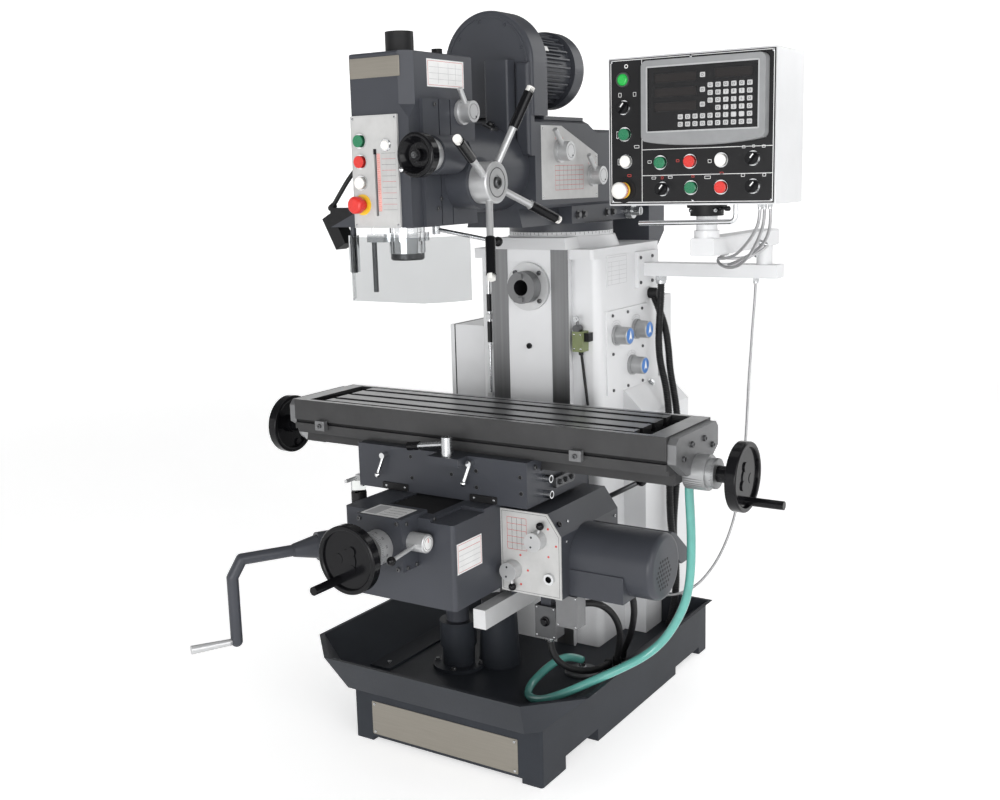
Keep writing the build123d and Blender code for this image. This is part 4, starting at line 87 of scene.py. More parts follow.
# Hoses and cables: the routes of the CAD model
HOSE_ROUTE = (
    (606, -318, 804.7), (606, -318, 764), (609, -317, 712), (611, -315, 652), (610, -313, 588),
    (605, -310, 530), (592, -307, 474), (567, -304, 420), (534, -306, 366), (494, -322, 324),
    (446, -366, 296), (394, -420, 272), (332, -462, 240), (264, -462, 206), (206, -430, 190),
    (176, -374, 192), (180, -316, 208), (198, -268, 228), (219, -226, 232), (236, -192, 210),
)
FEED_HOSES = (
    ((258, -399, 359), (258, -396, 318), (270, -374, 276), (290, -334, 246), (306, -280, 226),
     (310, -214, 212), (298, -156, 200)),
    ((330.7, -393.7, 452.4), (346, -350, 448), (358, -296, 424), (360, -240, 380), (352, -190, 324),
     (334, -156, 264), (312, -132, 206)),
    ((419.6, -296.7, 509.5), (422, -256, 452), (406, -212, 396), (380, -164, 344), (350, -116, 292),
     (318, -78, 238), (290, -54, 192)),
)
CABLE_ROUTES = (
    ((719, -171, 1438), (716, -162, 1402), (692, -136, 1368), (654, -96, 1336), (612, -54, 1308),
     (566, -12, 1297), (530, 30, 1295), (526, 78, 1292), (556, 112, 1288), (596, 140, 1296),
     (614, 170, 1320)),
    ((728, -165, 1438), (724, -152, 1402), (698, -114, 1360), (660, -70, 1316), (618, -28, 1284),
     (576, 6, 1271), (536, 36, 1276), (509, 74, 1291), (522, 120, 1302)),
    ((740, -160, 1438), (738, -146, 1398), (714, -108, 1354), (674, -62, 1324), (628, -16, 1304),
     (582, 24, 1285), (546, 60, 1275), (541, 104, 1271), (556, 140, 1276), (584, 166, 1300)),
)
CONDUIT_ROUTES = (
    ((247, 295, 1221.7), (247, 295, 1160), (243, 293, 1100), (242, 287, 1030), (254, 273, 966),
     (276, 262, 910), (288, 256, 850), (292, 254, 780), (294, 253, 700), (294, 252, 620),
     (295, 251, 540), (301, 250, 466), (314, 250, 396), (320, 244, 326), (318, 238, 258),
     (306, 234, 194)),
    ((205.4, 326, 1164), (226, 324, 1122), (250, 318, 1068), (263, 312, 1006), (272, 302, 944),
     (288, 294, 884), (300, 290, 820), (306, 288, 750), (305, 288, 680), (300, 288, 610),
     (294, 288, 540), (290, 288, 470), (292, 288, 400), (298, 286, 330), (300, 285, 258),
     (284, 286, 177)),
)
LONG_CABLE_ROUTE = (
    (541, 282, 1221.2), (541, 276, 1164), (540, 264, 1096), (540, 254, 1026), (538, 246, 950),
    (538, 238, 872), (538, 230, 796), (536, 222, 722), (530, 214, 650), (522, 206, 580),
    (508, 198, 514), (486, 190, 450), (456, 184, 392), (416, 178, 340), (366, 174, 306),
    (314, 170, 292), (269.5, 168, 294),
)
SWITCH_CABLE_ROUTE = (
    (146, -10, 1034), (147, -3, 996), (152, -1, 946), (159, -2, 896), (165, -1, 846), (169, -2, 796),
    (171, -1, 746),
)
HEAD_CABLE_ROUTE = (
    (-85, -590, 1576), (-122, -600, 1562), (-150, -616, 1526), (-172, -630, 1486), (-202, -628, 1451),
)

SPLINE_STEPS = 24
RIB_PROFILE = (0, 0, 1, 1)
RIB_EDGE = math.radians(50)


def read_curve(data):
    """The points and faces of a curve or a text, which is then taken away."""
    holder = link(data.name, data)
    bpy.context.view_layer.update()
    mesh = bpy.data.meshes.new_from_object(holder)
    points = [v.co.copy() for v in mesh.vertices]
    loops = [tuple(p.vertices) for p in mesh.polygons]
    bpy.data.objects.remove(holder)
    bpy.data.curves.remove(data)
    bpy.data.meshes.remove(mesh)
    return points, loops


def route_line(points):
    """Points read along the smooth spline whose control points are the route's."""
    data = bpy.data.curves.new("route", "CURVE")
    data.dimensions = "3D"
    data.resolution_u = SPLINE_STEPS
    spline = data.splines.new("NURBS")
    spline.points.add(len(points) - 1)
    for point, at in zip(spline.points, points):
        point.co = (at[0] * MM, at[1] * MM, at[2] * MM, 1)
    spline.order_u = 3
    spline.use_endpoint_u = True
    return read_curve(data)[0]


def even_points(line, step):
    """The line cut to even steps, with its whole length."""
    places = [0.0]
    for a, b in zip(line, line[1:]):
        places.append(places[-1] + (b - a).length)
    count = max(4, round(places[-1] / step))
    wanted = np.linspace(0, places[-1], count + 1)
    cut = [np.interp(wanted, places, [p[axis] for p in line]) for axis in range(3)]
    return [Vector(p) for p in zip(*cut)], places[-1]


def skin(count, rows):
    """Faces between rows of points, each row a closed loop, with a face over both ends."""
    loops = []
    last = rows * count - count
    for first in range(0, last, count):
        for k in range(count):
            t = (k + 1) % count
            loops.append((first + k, first + t, first + count + t, first + count + k))
    return loops + [tuple(reversed(range(count))), tuple(range(last, last + count))]


def smooth_object(name, points, loops, look):
    mesh = bpy.data.meshes.new(name)
    mesh.from_pydata(points, [], loops)
    mesh.polygons.foreach_set("use_smooth", [True] * len(mesh.polygons))
    mesh.materials.append(look)
    return link(name, mesh)


def cord_object(name, line, radius, groove, sides, look):
    """A tube round a line; a groove is pressed into it as the rib profile says."""
    ahead = [(b - a).normalized() for a, b in zip(line, line[1:])]
    ahead.append(ahead[-1])
    across = ahead[0].orthogonal().normalized()
    points = []
    for k, at in enumerate(line):
        across = (across - ahead[k] * across.dot(ahead[k])).normalized()
        other = ahead[k].cross(across)
        inner = 0 < k < len(line) - 1
        r = radius - groove * RIB_PROFILE[k % len(RIB_PROFILE)] if inner else radius
        for s in range(sides):
            turn = 2 * math.pi * s / sides
            points.append(at + across * (r * math.cos(turn)) + other * (r * math.sin(turn)))
    made = smooth_object(name, points, skin(sides, len(line)), look)
    if groove:
        made.data.set_sharp_from_angle(angle=RIB_EDGE)
    return made


def add_cord(name, points, node_name, body, radius, look, slot, ribs=None, sides=14, across=None):
    """A cord in place of a node's tube.

    ribs gives the pitch and depth of a corrugated hose or a wound strip. Given across, the cord is baked
    in place instead of attached to the body; the bodies and places in across are not used.
    """
    step = ribs[0] / len(RIB_PROFILE) if ribs else radius * 0.8
    line, length = even_points(route_line(points), step * MM)
    made = cord_object(name, line, radius * MM, ribs[1] * MM if ribs else 0, sides, look)
    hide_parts(node_name)
    if across:
        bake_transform(made)
    else:
        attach(made, body)


def make_cords():
    lift = ("frame", "knee", (0.4, -0.3, 0.24), (0.4, -0.3, 0.62))
    swivel = ("swing_arm", "panel", (0.60, -0.04, 1.31), (0.70, -0.15, 1.40))
    ribbed = dict(radius=9, look=RUBBER, slot="black_rubber", ribs=(4.4, 1.2))
    conduit = dict(radius=11, look=RUBBER, slot="black_rubber", ribs=(5.0, 1.6), sides=16)
    armoured = dict(radius=4, look=ARMOUR, slot="grey_armour", ribs=(3.6, 0.6), sides=12)
    add_cord("coolant_hose", HOSE_ROUTE, "tray_hoses", "frame", 11, TEAL, "teal_hose", sides=24, across=lift)
    for number, points in enumerate(FEED_HOSES, 1):
        add_cord(f"feed_hose_{number}", points, "tray_hoses", "frame", across=lift, **ribbed)
    for number, points in enumerate(CABLE_ROUTES, 1):
        add_cord(f"panel_cable_{number}", points, "panel_cables", "swing_arm", across=swivel, **armoured)
    for number, points in enumerate(CONDUIT_ROUTES, 1):
        add_cord(f"column_conduit_{number}", points, "column_cables", "frame", **conduit)
    add_cord("long_cable", LONG_CABLE_ROUTE, "column_cables", "frame", **armoured)
    plain = dict(look=RUBBER, slot="black_rubber")
    add_cord("switch_cable", SWITCH_CABLE_ROUTE, "column_cables", "frame", radius=4, sides=12, **plain)
    add_cord("head_cable_sleeve", HEAD_CABLE_ROUTE, "head_cable", "head", radius=5.5, sides=16, **plain)


# Materials
def set_inputs(made, **values):
    for key, value in values.items():
        made.inputs[key.replace("_", " ")].default_value = value
    return made


def shader_of(material):
    return material.node_tree.nodes["Principled BSDF"]


def finish(name, colour, rough, metal=0.0, vary=0.08, patch=6.0, grain=180.0, bump=0.04, spread=0.06,
           coat=0.0, stretch=(1, 1, 1), specular=0.5, depth=0.001):
    """A procedural finish: slow patches of tone, fine grain in the relief and in the gloss."""
    made = bpy.data.materials.new(name)
    made.use_nodes = True
    tree = made.node_tree

    def node(kind, **values):
        return set_inputs(tree.nodes.new("ShaderNode" + kind), **values)

    shader = set_inputs(shader_of(made), Metallic=metal, Specular_IOR_Level=specular, Coat_Weight=coat)
    place = node("TexCoord")
    scale = node("Mapping", Scale=stretch)
    slow = node("TexNoise", Scale=patch, Detail=4.0, Roughness=0.6)
    fine = node("TexNoise", Scale=grain, Detail=3.0, Roughness=0.55)
    tone = node("ValToRGB")
    for element, position, factor in zip(tone.color_ramp.elements, (0.3, 0.7), (1 - vary, 1 + vary)):
        element.position = position
        element.color = tuple(min(1.0, c * factor) for c in colour) + (1.0,)
    gloss = node("MapRange", To_Min=max(0.02, rough - spread), To_Max=min(1.0, rough + spread))
    relief = node("Bump", Strength=bump, Distance=depth)
    for source, given, target, taken in (
            (place, "Object", scale, "Vector"), (scale, "Vector", slow, "Vector"),
            (scale, "Vector", fine, "Vector"), (slow, "Fac", tone, "Fac"),
            (tone, "Color", shader, "Base Color"), (fine, "Fac", gloss, "Value"),
            (gloss, "Result", shader, "Roughness"),
            (fine, "Fac", relief, "Height"), (relief, "Normal", shader, "Normal")):
        tree.links.new(source.outputs[given], target.inputs[taken])
    return made


def enamel(name, colour, rough, bump=0.08, vary=0.06, specular=0.5):
    return finish(name, colour, rough, vary=vary, patch=3.0, grain=420, bump=bump, depth=0.0008,
                  specular=specular)


def machined(name, colour, rough, metal=1.0, stretch=(1, 1, 1), vary=0.07):
    return finish(name, colour, rough, metal=metal, vary=vary, patch=11, grain=320, bump=0.03,
                  stretch=stretch)


def moulded(name, colour, rough=0.28, specular=0.5):
    return finish(name, colour, rough, vary=0.06, patch=30, grain=600, bump=0.02, specular=specular)


def printed(name, colour):
    return finish(name, colour, 0.5, vary=0.08, patch=40, grain=500, bump=0.01)


def see_through(name, colour, ior):
    """Clear plastic sheet or glass."""
    made = finish(name, colour, 0.06, vary=0.02, patch=5, grain=120, bump=0.005, spread=0.02)
    set_inputs(shader_of(made), Transmission_Weight=1.0, IOR=ior)
    return made


SLATE = enamel("slate_enamel", (0.044, 0.047, 0.056), 0.36, bump=0.10, vary=0.10, specular=0.28)
# The base's cast slate: its rougher, grainier finish is the casting's own; its tone, about half that of the
# other slate parts, is painted shade that offsets the floor's light on the low base.
SLATE_CAST_SHADED = finish("slate_cast_enamel_painted_shade", (0.023, 0.026, 0.032), 0.48, vary=0.14, patch=5.0, grain=240,
                    bump=0.2, specular=0.18)
WHITE = enamel("white_enamel", (0.66, 0.665, 0.675), 0.38)
WHITE_SHEET = enamel("white_sheet_enamel", (0.64, 0.645, 0.655), 0.34, bump=0.05)
GROUND = machined("ground_iron", (0.25, 0.252, 0.256), 0.30, stretch=(0.08, 6, 6), vary=0.12)
WAY = machined("ground_way", (0.20, 0.202, 0.206), 0.36, stretch=(6, 6, 0.08), vary=0.14)
TABLE_SIDE = finish("table_side_iron", (0.042, 0.042, 0.043), 0.40, metal=0.4, vary=0.16, patch=7, grain=200,
                    bump=0.10)
BRACKET = machined("bracket_iron", (0.17, 0.172, 0.176), 0.42, metal=0.5, vary=0.1)
STEEL = machined("turned_steel", (0.50, 0.51, 0.52), 0.26)
CHROME = machined("polished_chrome", (0.70, 0.71, 0.72), 0.10, vary=0.04)
SATIN = machined("satin_aluminium", (0.52, 0.525, 0.53), 0.36, metal=0.6, vary=0.05)
KNOB = machined("knob_alloy", (0.36, 0.365, 0.37), 0.36, metal=0.6, vary=0.06)
TRIP = machined("trip_bar_alloy", (0.56, 0.565, 0.57), 0.45, metal=0.25, vary=0.06)
DARK_STEEL = machined("dark_steel", (0.11, 0.112, 0.116), 0.36, metal=0.8, vary=0.12)
BLACK = moulded("black_moulding", (0.006, 0.006, 0.007), 0.14, specular=0.20)
BLACK_MATT = moulded("black_matt", (0.009, 0.009, 0.010), 0.50, specular=0.25)
RUBBER = finish("black_hose", (0.011, 0.011, 0.012), 0.42, vary=0.2, patch=30, grain=600, bump=0.05,
                specular=0.3)
ARMOUR = finish("cable_armour", (0.44, 0.44, 0.45), 0.34, metal=0.75, vary=0.1, patch=40, grain=900,
                bump=0.04)
TEAL = finish("coolant_hose", (0.10, 0.34, 0.30), 0.22, vary=0.10, patch=12, grain=120, bump=0.02, coat=0.4)
WHITE_PLATE = moulded("white_plate", (0.72, 0.72, 0.715), 0.34)
CONTROL_PLATE = moulded("control_plate", (0.46, 0.46, 0.455), 0.34)
CHAMPAGNE = machined("champagne_plate", (0.28, 0.26, 0.225), 0.36, metal=0.85, stretch=(1, 1, 30), vary=0.04)
BARE_PLATE = machined("bare_aluminium", (0.60, 0.60, 0.59), 0.36, metal=0.8, stretch=(30, 1, 1), vary=0.04)
RED = moulded("red_button", (0.60, 0.025, 0.018))
GREEN = moulded("green_button", (0.012, 0.17, 0.075))
LAMP = moulded("green_lamp", (0.012, 0.42, 0.06))
PALE = moulded("pale_button", (0.78, 0.77, 0.74))
YELLOW = moulded("yellow_ring", (0.80, 0.50, 0.03), 0.35)
BLUE = moulded("blue_cap", (0.035, 0.16, 0.46), 0.3)
OLIVE = moulded("olive_switch", (0.17, 0.20, 0.09), 0.42)
GREY_BEZEL = moulded("grey_bezel", (0.24, 0.245, 0.25), 0.42)
LIGHT_BEZEL = moulded("light_bezel", (0.40, 0.405, 0.41), 0.36)
SCREEN = moulded("dark_screen", (0.005, 0.005, 0.006), 0.16, specular=0.3)
DISPLAY = moulded("dark_display", (0.012, 0.010, 0.010), 0.16, specular=0.3)
KEY = moulded("grey_key", (0.48, 0.48, 0.48), 0.4)
INK = printed("grey_print", (0.10, 0.10, 0.105))
PALE_INK = printed("pale_print", (0.42, 0.42, 0.43))
RED_INK = printed("red_print", (0.52, 0.05, 0.04))
WHITE_INK = printed("white_print", (0.75, 0.75, 0.75))
PINK_INK = printed("pale_red_print", (0.66, 0.34, 0.31))
CLEAR = see_through("clear_guard", (0.57, 0.58, 0.585), 1.18)
CUP = see_through("clear_cup", (0.90, 0.92, 0.90), 1.3)
PAPER = finish("studio_paper", (0.88, 0.88, 0.88), 0.9, vary=0.01, patch=1.0, grain=50, bump=0.0)
set_inputs(shader_of(PAPER), Emission_Color=(1, 1, 1, 1), Emission_Strength=0.55)


# Middles of round features, in millimetres: x and z where they lie along Y
SPINDLE = (0, 1213)
PANEL_LAMP = (397, 1738)
PANEL_STOP = (398, 1477)
HEAD_LAMP = (20, 1596)
HEAD_STOP = (-55, 1462)
FINE_FEED = (124, 1571)
CROSS_DIAL = (-8, 655)
FEED_SOCKET = (307, 542)
FEED_KNOBS = {"feed_rate_knob": (275, 638), "feed_range_knob": (202, 551)}
MOTOR = (0, 1800)

# The same, y and z along X
CAPSTAN = (-500, 1505)
TABLE_SCREW = (-350, 824.2)
FEED_MOTOR = (-361, 561)
DOOR_LOCK = (44, 936)
COLUMN_KNOBS = ((100, 1068), (225, 1071), (196, 970))

# The same, x and y of upright ones
TURRET = (0, 146)
LIMIT_ROD = (-150, -17)
DEPTH_ROD = (-48, -660)
LUBRICATOR = (-285, -478)
ELEVATING_SCREW = (-90, -312)
TRAY_DRAIN = (236, -192)

# Levels of the faces that plates and fittings lie on, in millimetres
COLUMN_SIDE_X = 197
GEAR_PAD_X = 199
SWITCH_Y = -31
FASCIA_Y = -238
BEZEL_Y = -264
DISPLAY_Y = -261
HEAD_FRONT_Y = -681
HEAD_PLATE_Y = -687
HEAD_SIDE_X = 82
RAM_SIDE_X = 130
BELT_COVER_Y = -225
COWL_Y = 121
NOSE_TOP_Z = 729
KNEE_SIDE_X = 165
FEED_PLATE_Y = -475
SADDLE_Y = -500
SADDLE_SIDE_X = 261
TABLE_TOP_Z = 929
PLINTH_Y = -521
TRAY_FLOOR_Z = 175


# Finishes on the CAD nodes
SELECTORS = ("spindle_direction", "feed_direction", "axis_selector", "work_light")
PLAIN_FINISHES = (
    (SLATE_CAST_SHADED, "base_casting"),
    (WHITE, "panel_swing_arm"),
    (KNOB, "column_knob_1 column_knob_2 column_knob_3"),
    (GREEN, "button_spindle_start button_feed_start button_coolant_on button_head_start"),
    (RED, "button_feed_stop button_coolant_off button_head_stop head_stop_mushroom"),
    (PALE, "button_spindle_jog button_rapid_feed button_head_jog"),
    (BLACK, "fine_feed_wheel cross_feed_wheel table_wheel_left table_wheel_right"),
    (SLATE, "turret ram_housing"),
    (STEEL, "ram_pinion"),
    (SATIN, "ram_lever_front ram_lever_rear head_gear_lever"),
    (DARK_STEEL, "vertical_spindle"),
    (CHROME, "table_lock_left table_lock_right"),
    (CLEAR, "chip_guard"),
)
EVERYWHERE = (-9999, 9999)
UPRIGHT = 0.9


def paint(name, base, *rules):
    """Gives a node its finish; each rule is a test on a face's middle and normal with another finish."""
    mesh = nodes[name].data
    mesh.materials.clear()
    for look in (base, *(other for _, other in rules)):
        mesh.materials.append(look)
    for face in mesh.polygons:
        face.material_index = 0
        for index, (test, _) in enumerate(rules, 1):
            if test(face.center / MM, face.normal):
                face.material_index = index
                break


def inside(x=EVERYWHERE, y=EVERYWHERE, z=EVERYWHERE):
    return lambda c, n: x[0] <= c.x <= x[1] and y[0] <= c.y <= y[1] and z[0] <= c.z <= z[1]


def tube(axis, centre, radii, span=EVERYWHERE):
    """True for faces whose middle lies between two radii from a line along an axis."""
    along = "xyz".index(axis)
    a, b = [k for k in range(3) if k != along]

    def test(c, n):
        far = math.hypot(c[a] - centre[0], c[b] - centre[1])
        return radii[0] <= far <= radii[1] and span[0] <= c[along] <= span[1]
    return test


def near(centre, reach):
    return lambda c, n: (c - Vector(centre)).length <= reach


def on_ways(c, n):
    """True on the two ground strips of the column's front."""
    return n.y < -UPRIGHT and c.y < -38.4 and 69 < abs(c.x) < 126 and c.z < 1289


def on_table_top(c, n):
    return n.z > UPRIGHT and c.z > 925.3 and -500 < c.x < 620


def on_crank_grip(c, n):
    """True past the crank's foot, along its grip."""
    return (c - Vector((-323.6, -923.1, 416))).dot(Vector((-0.5, -0.866, 0))) > 15 and c.z < 432


def paint_frame():
    for look, names in PLAIN_FINISHES:
        for name in names.split():
            paint(name, look)
    box_y = (-32, 4.9)
    paint("column", WHITE,
          (on_ways, WAY),
          (tube("y", SPINDLE, (0, 40), (-49.2, -10)), BLACK_MATT),  # spindle bore: painted shade, black inside the bore
          (tube("y", SPINDLE, (0, 68), (-49.5, -37.2)), SATIN),  # flange
          (inside(x=(162.2, 177), y=box_y, z=(1030, 1140)), BLACK),  # switch lever
          (inside(x=(129, 162.3), y=box_y, z=(1091.2, 1140)), DARK_STEEL),  # switch head
          (inside(x=(129, 162.3), y=box_y, z=(1030, 1091.3)), OLIVE),  # switch box
          (tube("z", LIMIT_ROD, (0, 4.6), (880, 1260)), STEEL),
          (tube("z", LIMIT_ROD, (4.6, 7.3), (1044, 1186)), BLACK_MATT),  # rod sleeves
          (inside(x=(-160, -140), y=(-27, 4.9), z=(884, 1256)), SATIN),  # rod brackets
          (inside(x=(-400, -195.5)), WHITE_SHEET),  # cabinet
          (inside(y=(400.5, 600)), WHITE_SHEET))  # rear cover
    paint("cabinet_door", WHITE_SHEET, (tube("x", DOOR_LOCK, (0, 9.5), (-400, -316.4)), DARK_STEEL))
    # Black at the spindle's middle: painted shade inside its taper bore.
    paint("horizontal_spindle", BRACKET, (tube("y", SPINDLE, (0, 22.4), (-85, 0)), BLACK_MATT))


def paint_panel():
    paint("panel_box", WHITE_SHEET,
          (inside(x=(500, 620), y=(-170, -50), z=(1390, 1439.9)), BLACK_MATT),  # flange
          (inside(z=(1380, 1439.9)), CHROME))  # handle
    paint("panel_face", BLACK_MATT,
          (inside(x=(472, 746), y=(-263.8, -239), z=(1613, 1760)), SCREEN),
          (inside(x=(455, 763), y=(-300, -238.5), z=(1589, 1777)), GREY_BEZEL),
          (tube("y", PANEL_STOP, (0, 31), (-245, -238.1)), BLACK_MATT),
          (tube("y", PANEL_LAMP, (0, 14.6), (-300, -238.1)), LAMP),
          (inside(y=(-300, -238.1)), CHROME))  # button collars
    for name in SELECTORS:
        paint("selector_" + name, BLACK)
    paint("panel_stop", PALE, (inside(y=(-262, -200)), RED))


def paint_head():
    paint("drive_motor", SLATE, (inside(y=(-150, 50), z=(1600, 1698)), DARK_STEEL))  # cable gland
    paint("head_casting", SLATE,
          (tube("y", FINE_FEED, (0, 39), (-692, -661.2)), SATIN),  # graduated collar
          (inside(x=(-240, -140), z=(1340, 1460)), BLACK_MATT),  # guard interlock
          (inside(z=(1803.2, 1860)), BLACK_MATT))  # cap and plug
    paint("head_panel", CONTROL_PLATE,
          (tube("y", HEAD_STOP, (0, 25), (-700, -687.2)), YELLOW),
          (tube("y", HEAD_LAMP, (0, 11.4), (-700, -687.2)), PALE),
          (inside(y=(-700, -687.2)), CHROME))  # button collars
    paint("quill", CHROME, (tube("z", DEPTH_ROD, (0, 11), (1250, 1373)), DARK_STEEL))
    paint("capstan", SATIN,
          (tube("x", CAPSTAN, (229, 260)), PALE),  # tips
          (tube("x", CAPSTAN, (138, 229)), BLACK))  # grips
    paint("quill_lock_lever", STEEL, (near((170, -460, 1365), 13), BLACK))


def paint_knee():
    paint("knee_casting", SLATE,
          (tube("y", CROSS_DIAL, (0, 43), (-792, -745.2)), SATIN),
          (inside(x=(-74.5, 74.5), y=(-638, -484.5), z=(688, 717.2)), BLACK_MATT))  # way cover
    paint("feed_gearbox", SLATE,
          (tube("y", FEED_SOCKET, (0, 8.8), (-486, -470)), BLACK),
          (tube("y", FEED_SOCKET, (0, 15), (-486, -475.2)), CHROME),
          (inside(x=(165, 339), y=(-476, -470.5), z=(490, 706)), CONTROL_PLATE),
          (inside(x=(135, 173), y=(-566, -274), z=(413, 464.5)), TRIP),  # trip bar
          (inside(x=(227, 289), y=(-422, -376), z=(359, 444.5)), DARK_STEEL),  # first switch box
          (inside(x=(301, 363), y=(-442, -396), z=(406, 490.8)), BRACKET))  # second switch box
    rate_ball = (box_of("feed_rate_knob")[1].x - 10, 677)
    for name, ball in (("feed_rate_knob", rate_ball), ("feed_range_knob", (205, 509))):
        paint(name, SATIN, (tube("y", ball, (0, 11.5)), BLACK))
    paint("knee_nose_lever", SATIN, (near((86, -820, 654), 13), BLACK))
    paint("knee_clamp_lever", DARK_STEEL, (near((350, -52, 697), 16.5), BLACK))
    paint("elevating_crank", SLATE, (on_crank_grip, SATIN))


def paint_table():
    paint("saddle", SLATE,
          (tube("z", LUBRICATOR, (0, 21), (660, 728)), CUP),
          (inside(x=(-310, -261.3)), SATIN),  # lubricator bracket
          (inside(x=(261.3, 290)), CHROME))  # side plugs
    paint("table_feed_lever", STEEL, (inside(x=(-90, -36.5)), BLACK))
    paint("table", TABLE_SIDE,
          (on_table_top, GROUND),
          (tube("x", TABLE_SCREW, (0, 44), (642.3, 700)), KNOB),
          (tube("x", TABLE_SCREW, (0, 44), (-600, -522.3)), KNOB),
          (inside(x=(620.2, 700)), BRACKET),
          (inside(x=(-600, -500.2)), BRACKET),
          (inside(y=(-492, -477.2)), BRACKET),  # dogs
          (inside(x=(-499, 619), y=(-460, -240), z=(850, 925)), BLACK_MATT),  # inside of the slots: painted shade, black on their walls
          (inside(y=(-476.8, -464), z=(860, 878)), BLACK_MATT))  # dog groove: painted shade, black inside the groove


# Screw heads with a radius of one: each ring's radius and height, and its flat sides where it has some
SCREW_HEADS = {
    "cap": ((1, 0.65), (0.85, 0.8), (0.56, 0.8, 6), (0.52, 0.28, 6)),
    "hex": ((1.3, 0.25), (1, 0.25, 6), (1, 0.85, 6), (0.8, 0.98), (0, 1)),
    "dome": ((1, 0.12), (0.8, 0.45), (0.42, 0.56, 4), (0.3, 0.25, 4)),
}
SHARP_EDGE = math.radians(35)
CORNER_STEPS = 4

# Heights of print and thin plates over the faces that they lie on, in millimetres
THIN_PRINT = 0.2
FASCIA_PRINT = 0.25
TICK_LIFT = 0.35
LABEL_THICK = 0.5
LABEL_PRINT = 0.7
TRIM_THICK = 1.6


def spot(at, out, up=None):
    """A frame on a surface: its third axis points out of it and its second axis upward."""
    out = Vector(out).normalized()
    up = Vector(up or (BACK if abs(out.z) > UPRIGHT else UP))
    up = (up - out * up.dot(out)).normalized()
    turn = Matrix((up.cross(out), up, out)).transposed().to_4x4()
    return Matrix.Translation(Vector(at) * MM) @ turn @ Matrix.Scale(MM, 4)


def box_of(name):
    points = [v.co for v in nodes[name].data.vertices]
    return [Vector([pick(p[axis] for p in points) for axis in range(3)]) / MM for pick in (min, max)]


surfaces = {}


def seat(name, at, out, reach=40):
    """The point of a node's surface at a place, found by looking against the outward direction."""
    if name not in surfaces:
        mesh = nodes[name].data
        surfaces[name] = BVHTree.FromPolygons(
            [v.co for v in mesh.vertices], [tuple(p.vertices) for p in mesh.polygons])
    out = Vector(out).normalized()
    hit = surfaces[name].ray_cast((Vector(at) + out * reach) * MM, -out, 2 * reach * MM)[0]
    if hit is None:
        raise ValueError(f"nothing of {name} at {tuple(at)}")
    return hit / MM


def point(out, level, pair):
    """The point at a level on the direction's main axis, with the pair on the other two axes."""
    made = list(pair)
    made.insert(max(range(3), key=lambda axis: abs(out[axis])), level)
    return Vector(made)


def on_face(out, level, pair=(0, 0)):
    """The frame of a flat face at a level; without a pair, figures on it are the model's own."""
    return spot(point(out, level, pair), out)


def on_node(name, out, level, pair):
    """The frame on a node's surface near a level."""
    return spot(seat(name, point(out, level, pair), out), out)


def around(centre, radius, degrees):
    turn = math.radians(degrees)
    return centre[0] + radius * math.cos(turn), centre[1] + radius * math.sin(turn)


def sides_round(axis, count):
    """Directions evenly round an axis."""
    across = axis.orthogonal().normalized()
    return [Matrix.Rotation(2 * math.pi * k / count, 3, axis) @ across for k in range(count)]


def steps(start, pitch, count):
    return [start + pitch * k for k in range(count)]


def pairs(first, second):
    return [(a, b) for a in first for b in second]


def rectangle(x, y):
    return [(x[0], y[0]), (x[1], y[0]), (x[1], y[1]), (x[0], y[1])]


def rounded(x, y, radius):
    """A rectangle with round corners."""
    points = []
    for corner, (cx, cy) in enumerate(((x[1], y[1]), (x[0], y[1]), (x[0], y[0]), (x[1], y[0]))):
        middle = (cx - radius if cx == x[1] else cx + radius, cy - radius if cy == y[1] else cy + radius)
        points += [around(middle, radius, 90 * (corner + k / CORNER_STEPS)) for k in range(CORNER_STEPS + 1)]
    return points


def stroke(a, b, width):
    """The outline of a straight line of some width."""
    along = (Vector(b) - Vector(a)).normalized()
    side = Vector((-along.y, along.x)) * width / 2
    return [tuple(Vector(p) + side * s) for p, s in ((a, -1), (b, -1), (b, 1), (a, 1))]


def sector(radius, width, start, end, count=14):
    """The outline of an arc of some width, between two angles in degrees."""
    turns = [start + (end - start) * k / count for k in range(count + 1)]
    outer = [around((0, 0), radius + width / 2, turn) for turn in turns]
    inner = [around((0, 0), radius - width / 2, turn) for turn in turns]
    return outer + inner[::-1]


def shrink(outline, by):
    """An outline moved inward; its corners run anticlockwise."""
    made = []
    for k, corner in enumerate(outline):
        before = Vector(corner) - Vector(outline[k - 1])
        after = Vector(outline[(k + 1) % len(outline)]) - Vector(corner)
        first = Vector((-before.y, before.x)).normalized()
        second = Vector((-after.y, after.x)).normalized()
        made.append(tuple(Vector(corner) + (first + second) * (by / (1 + first.dot(second)))))
    return made


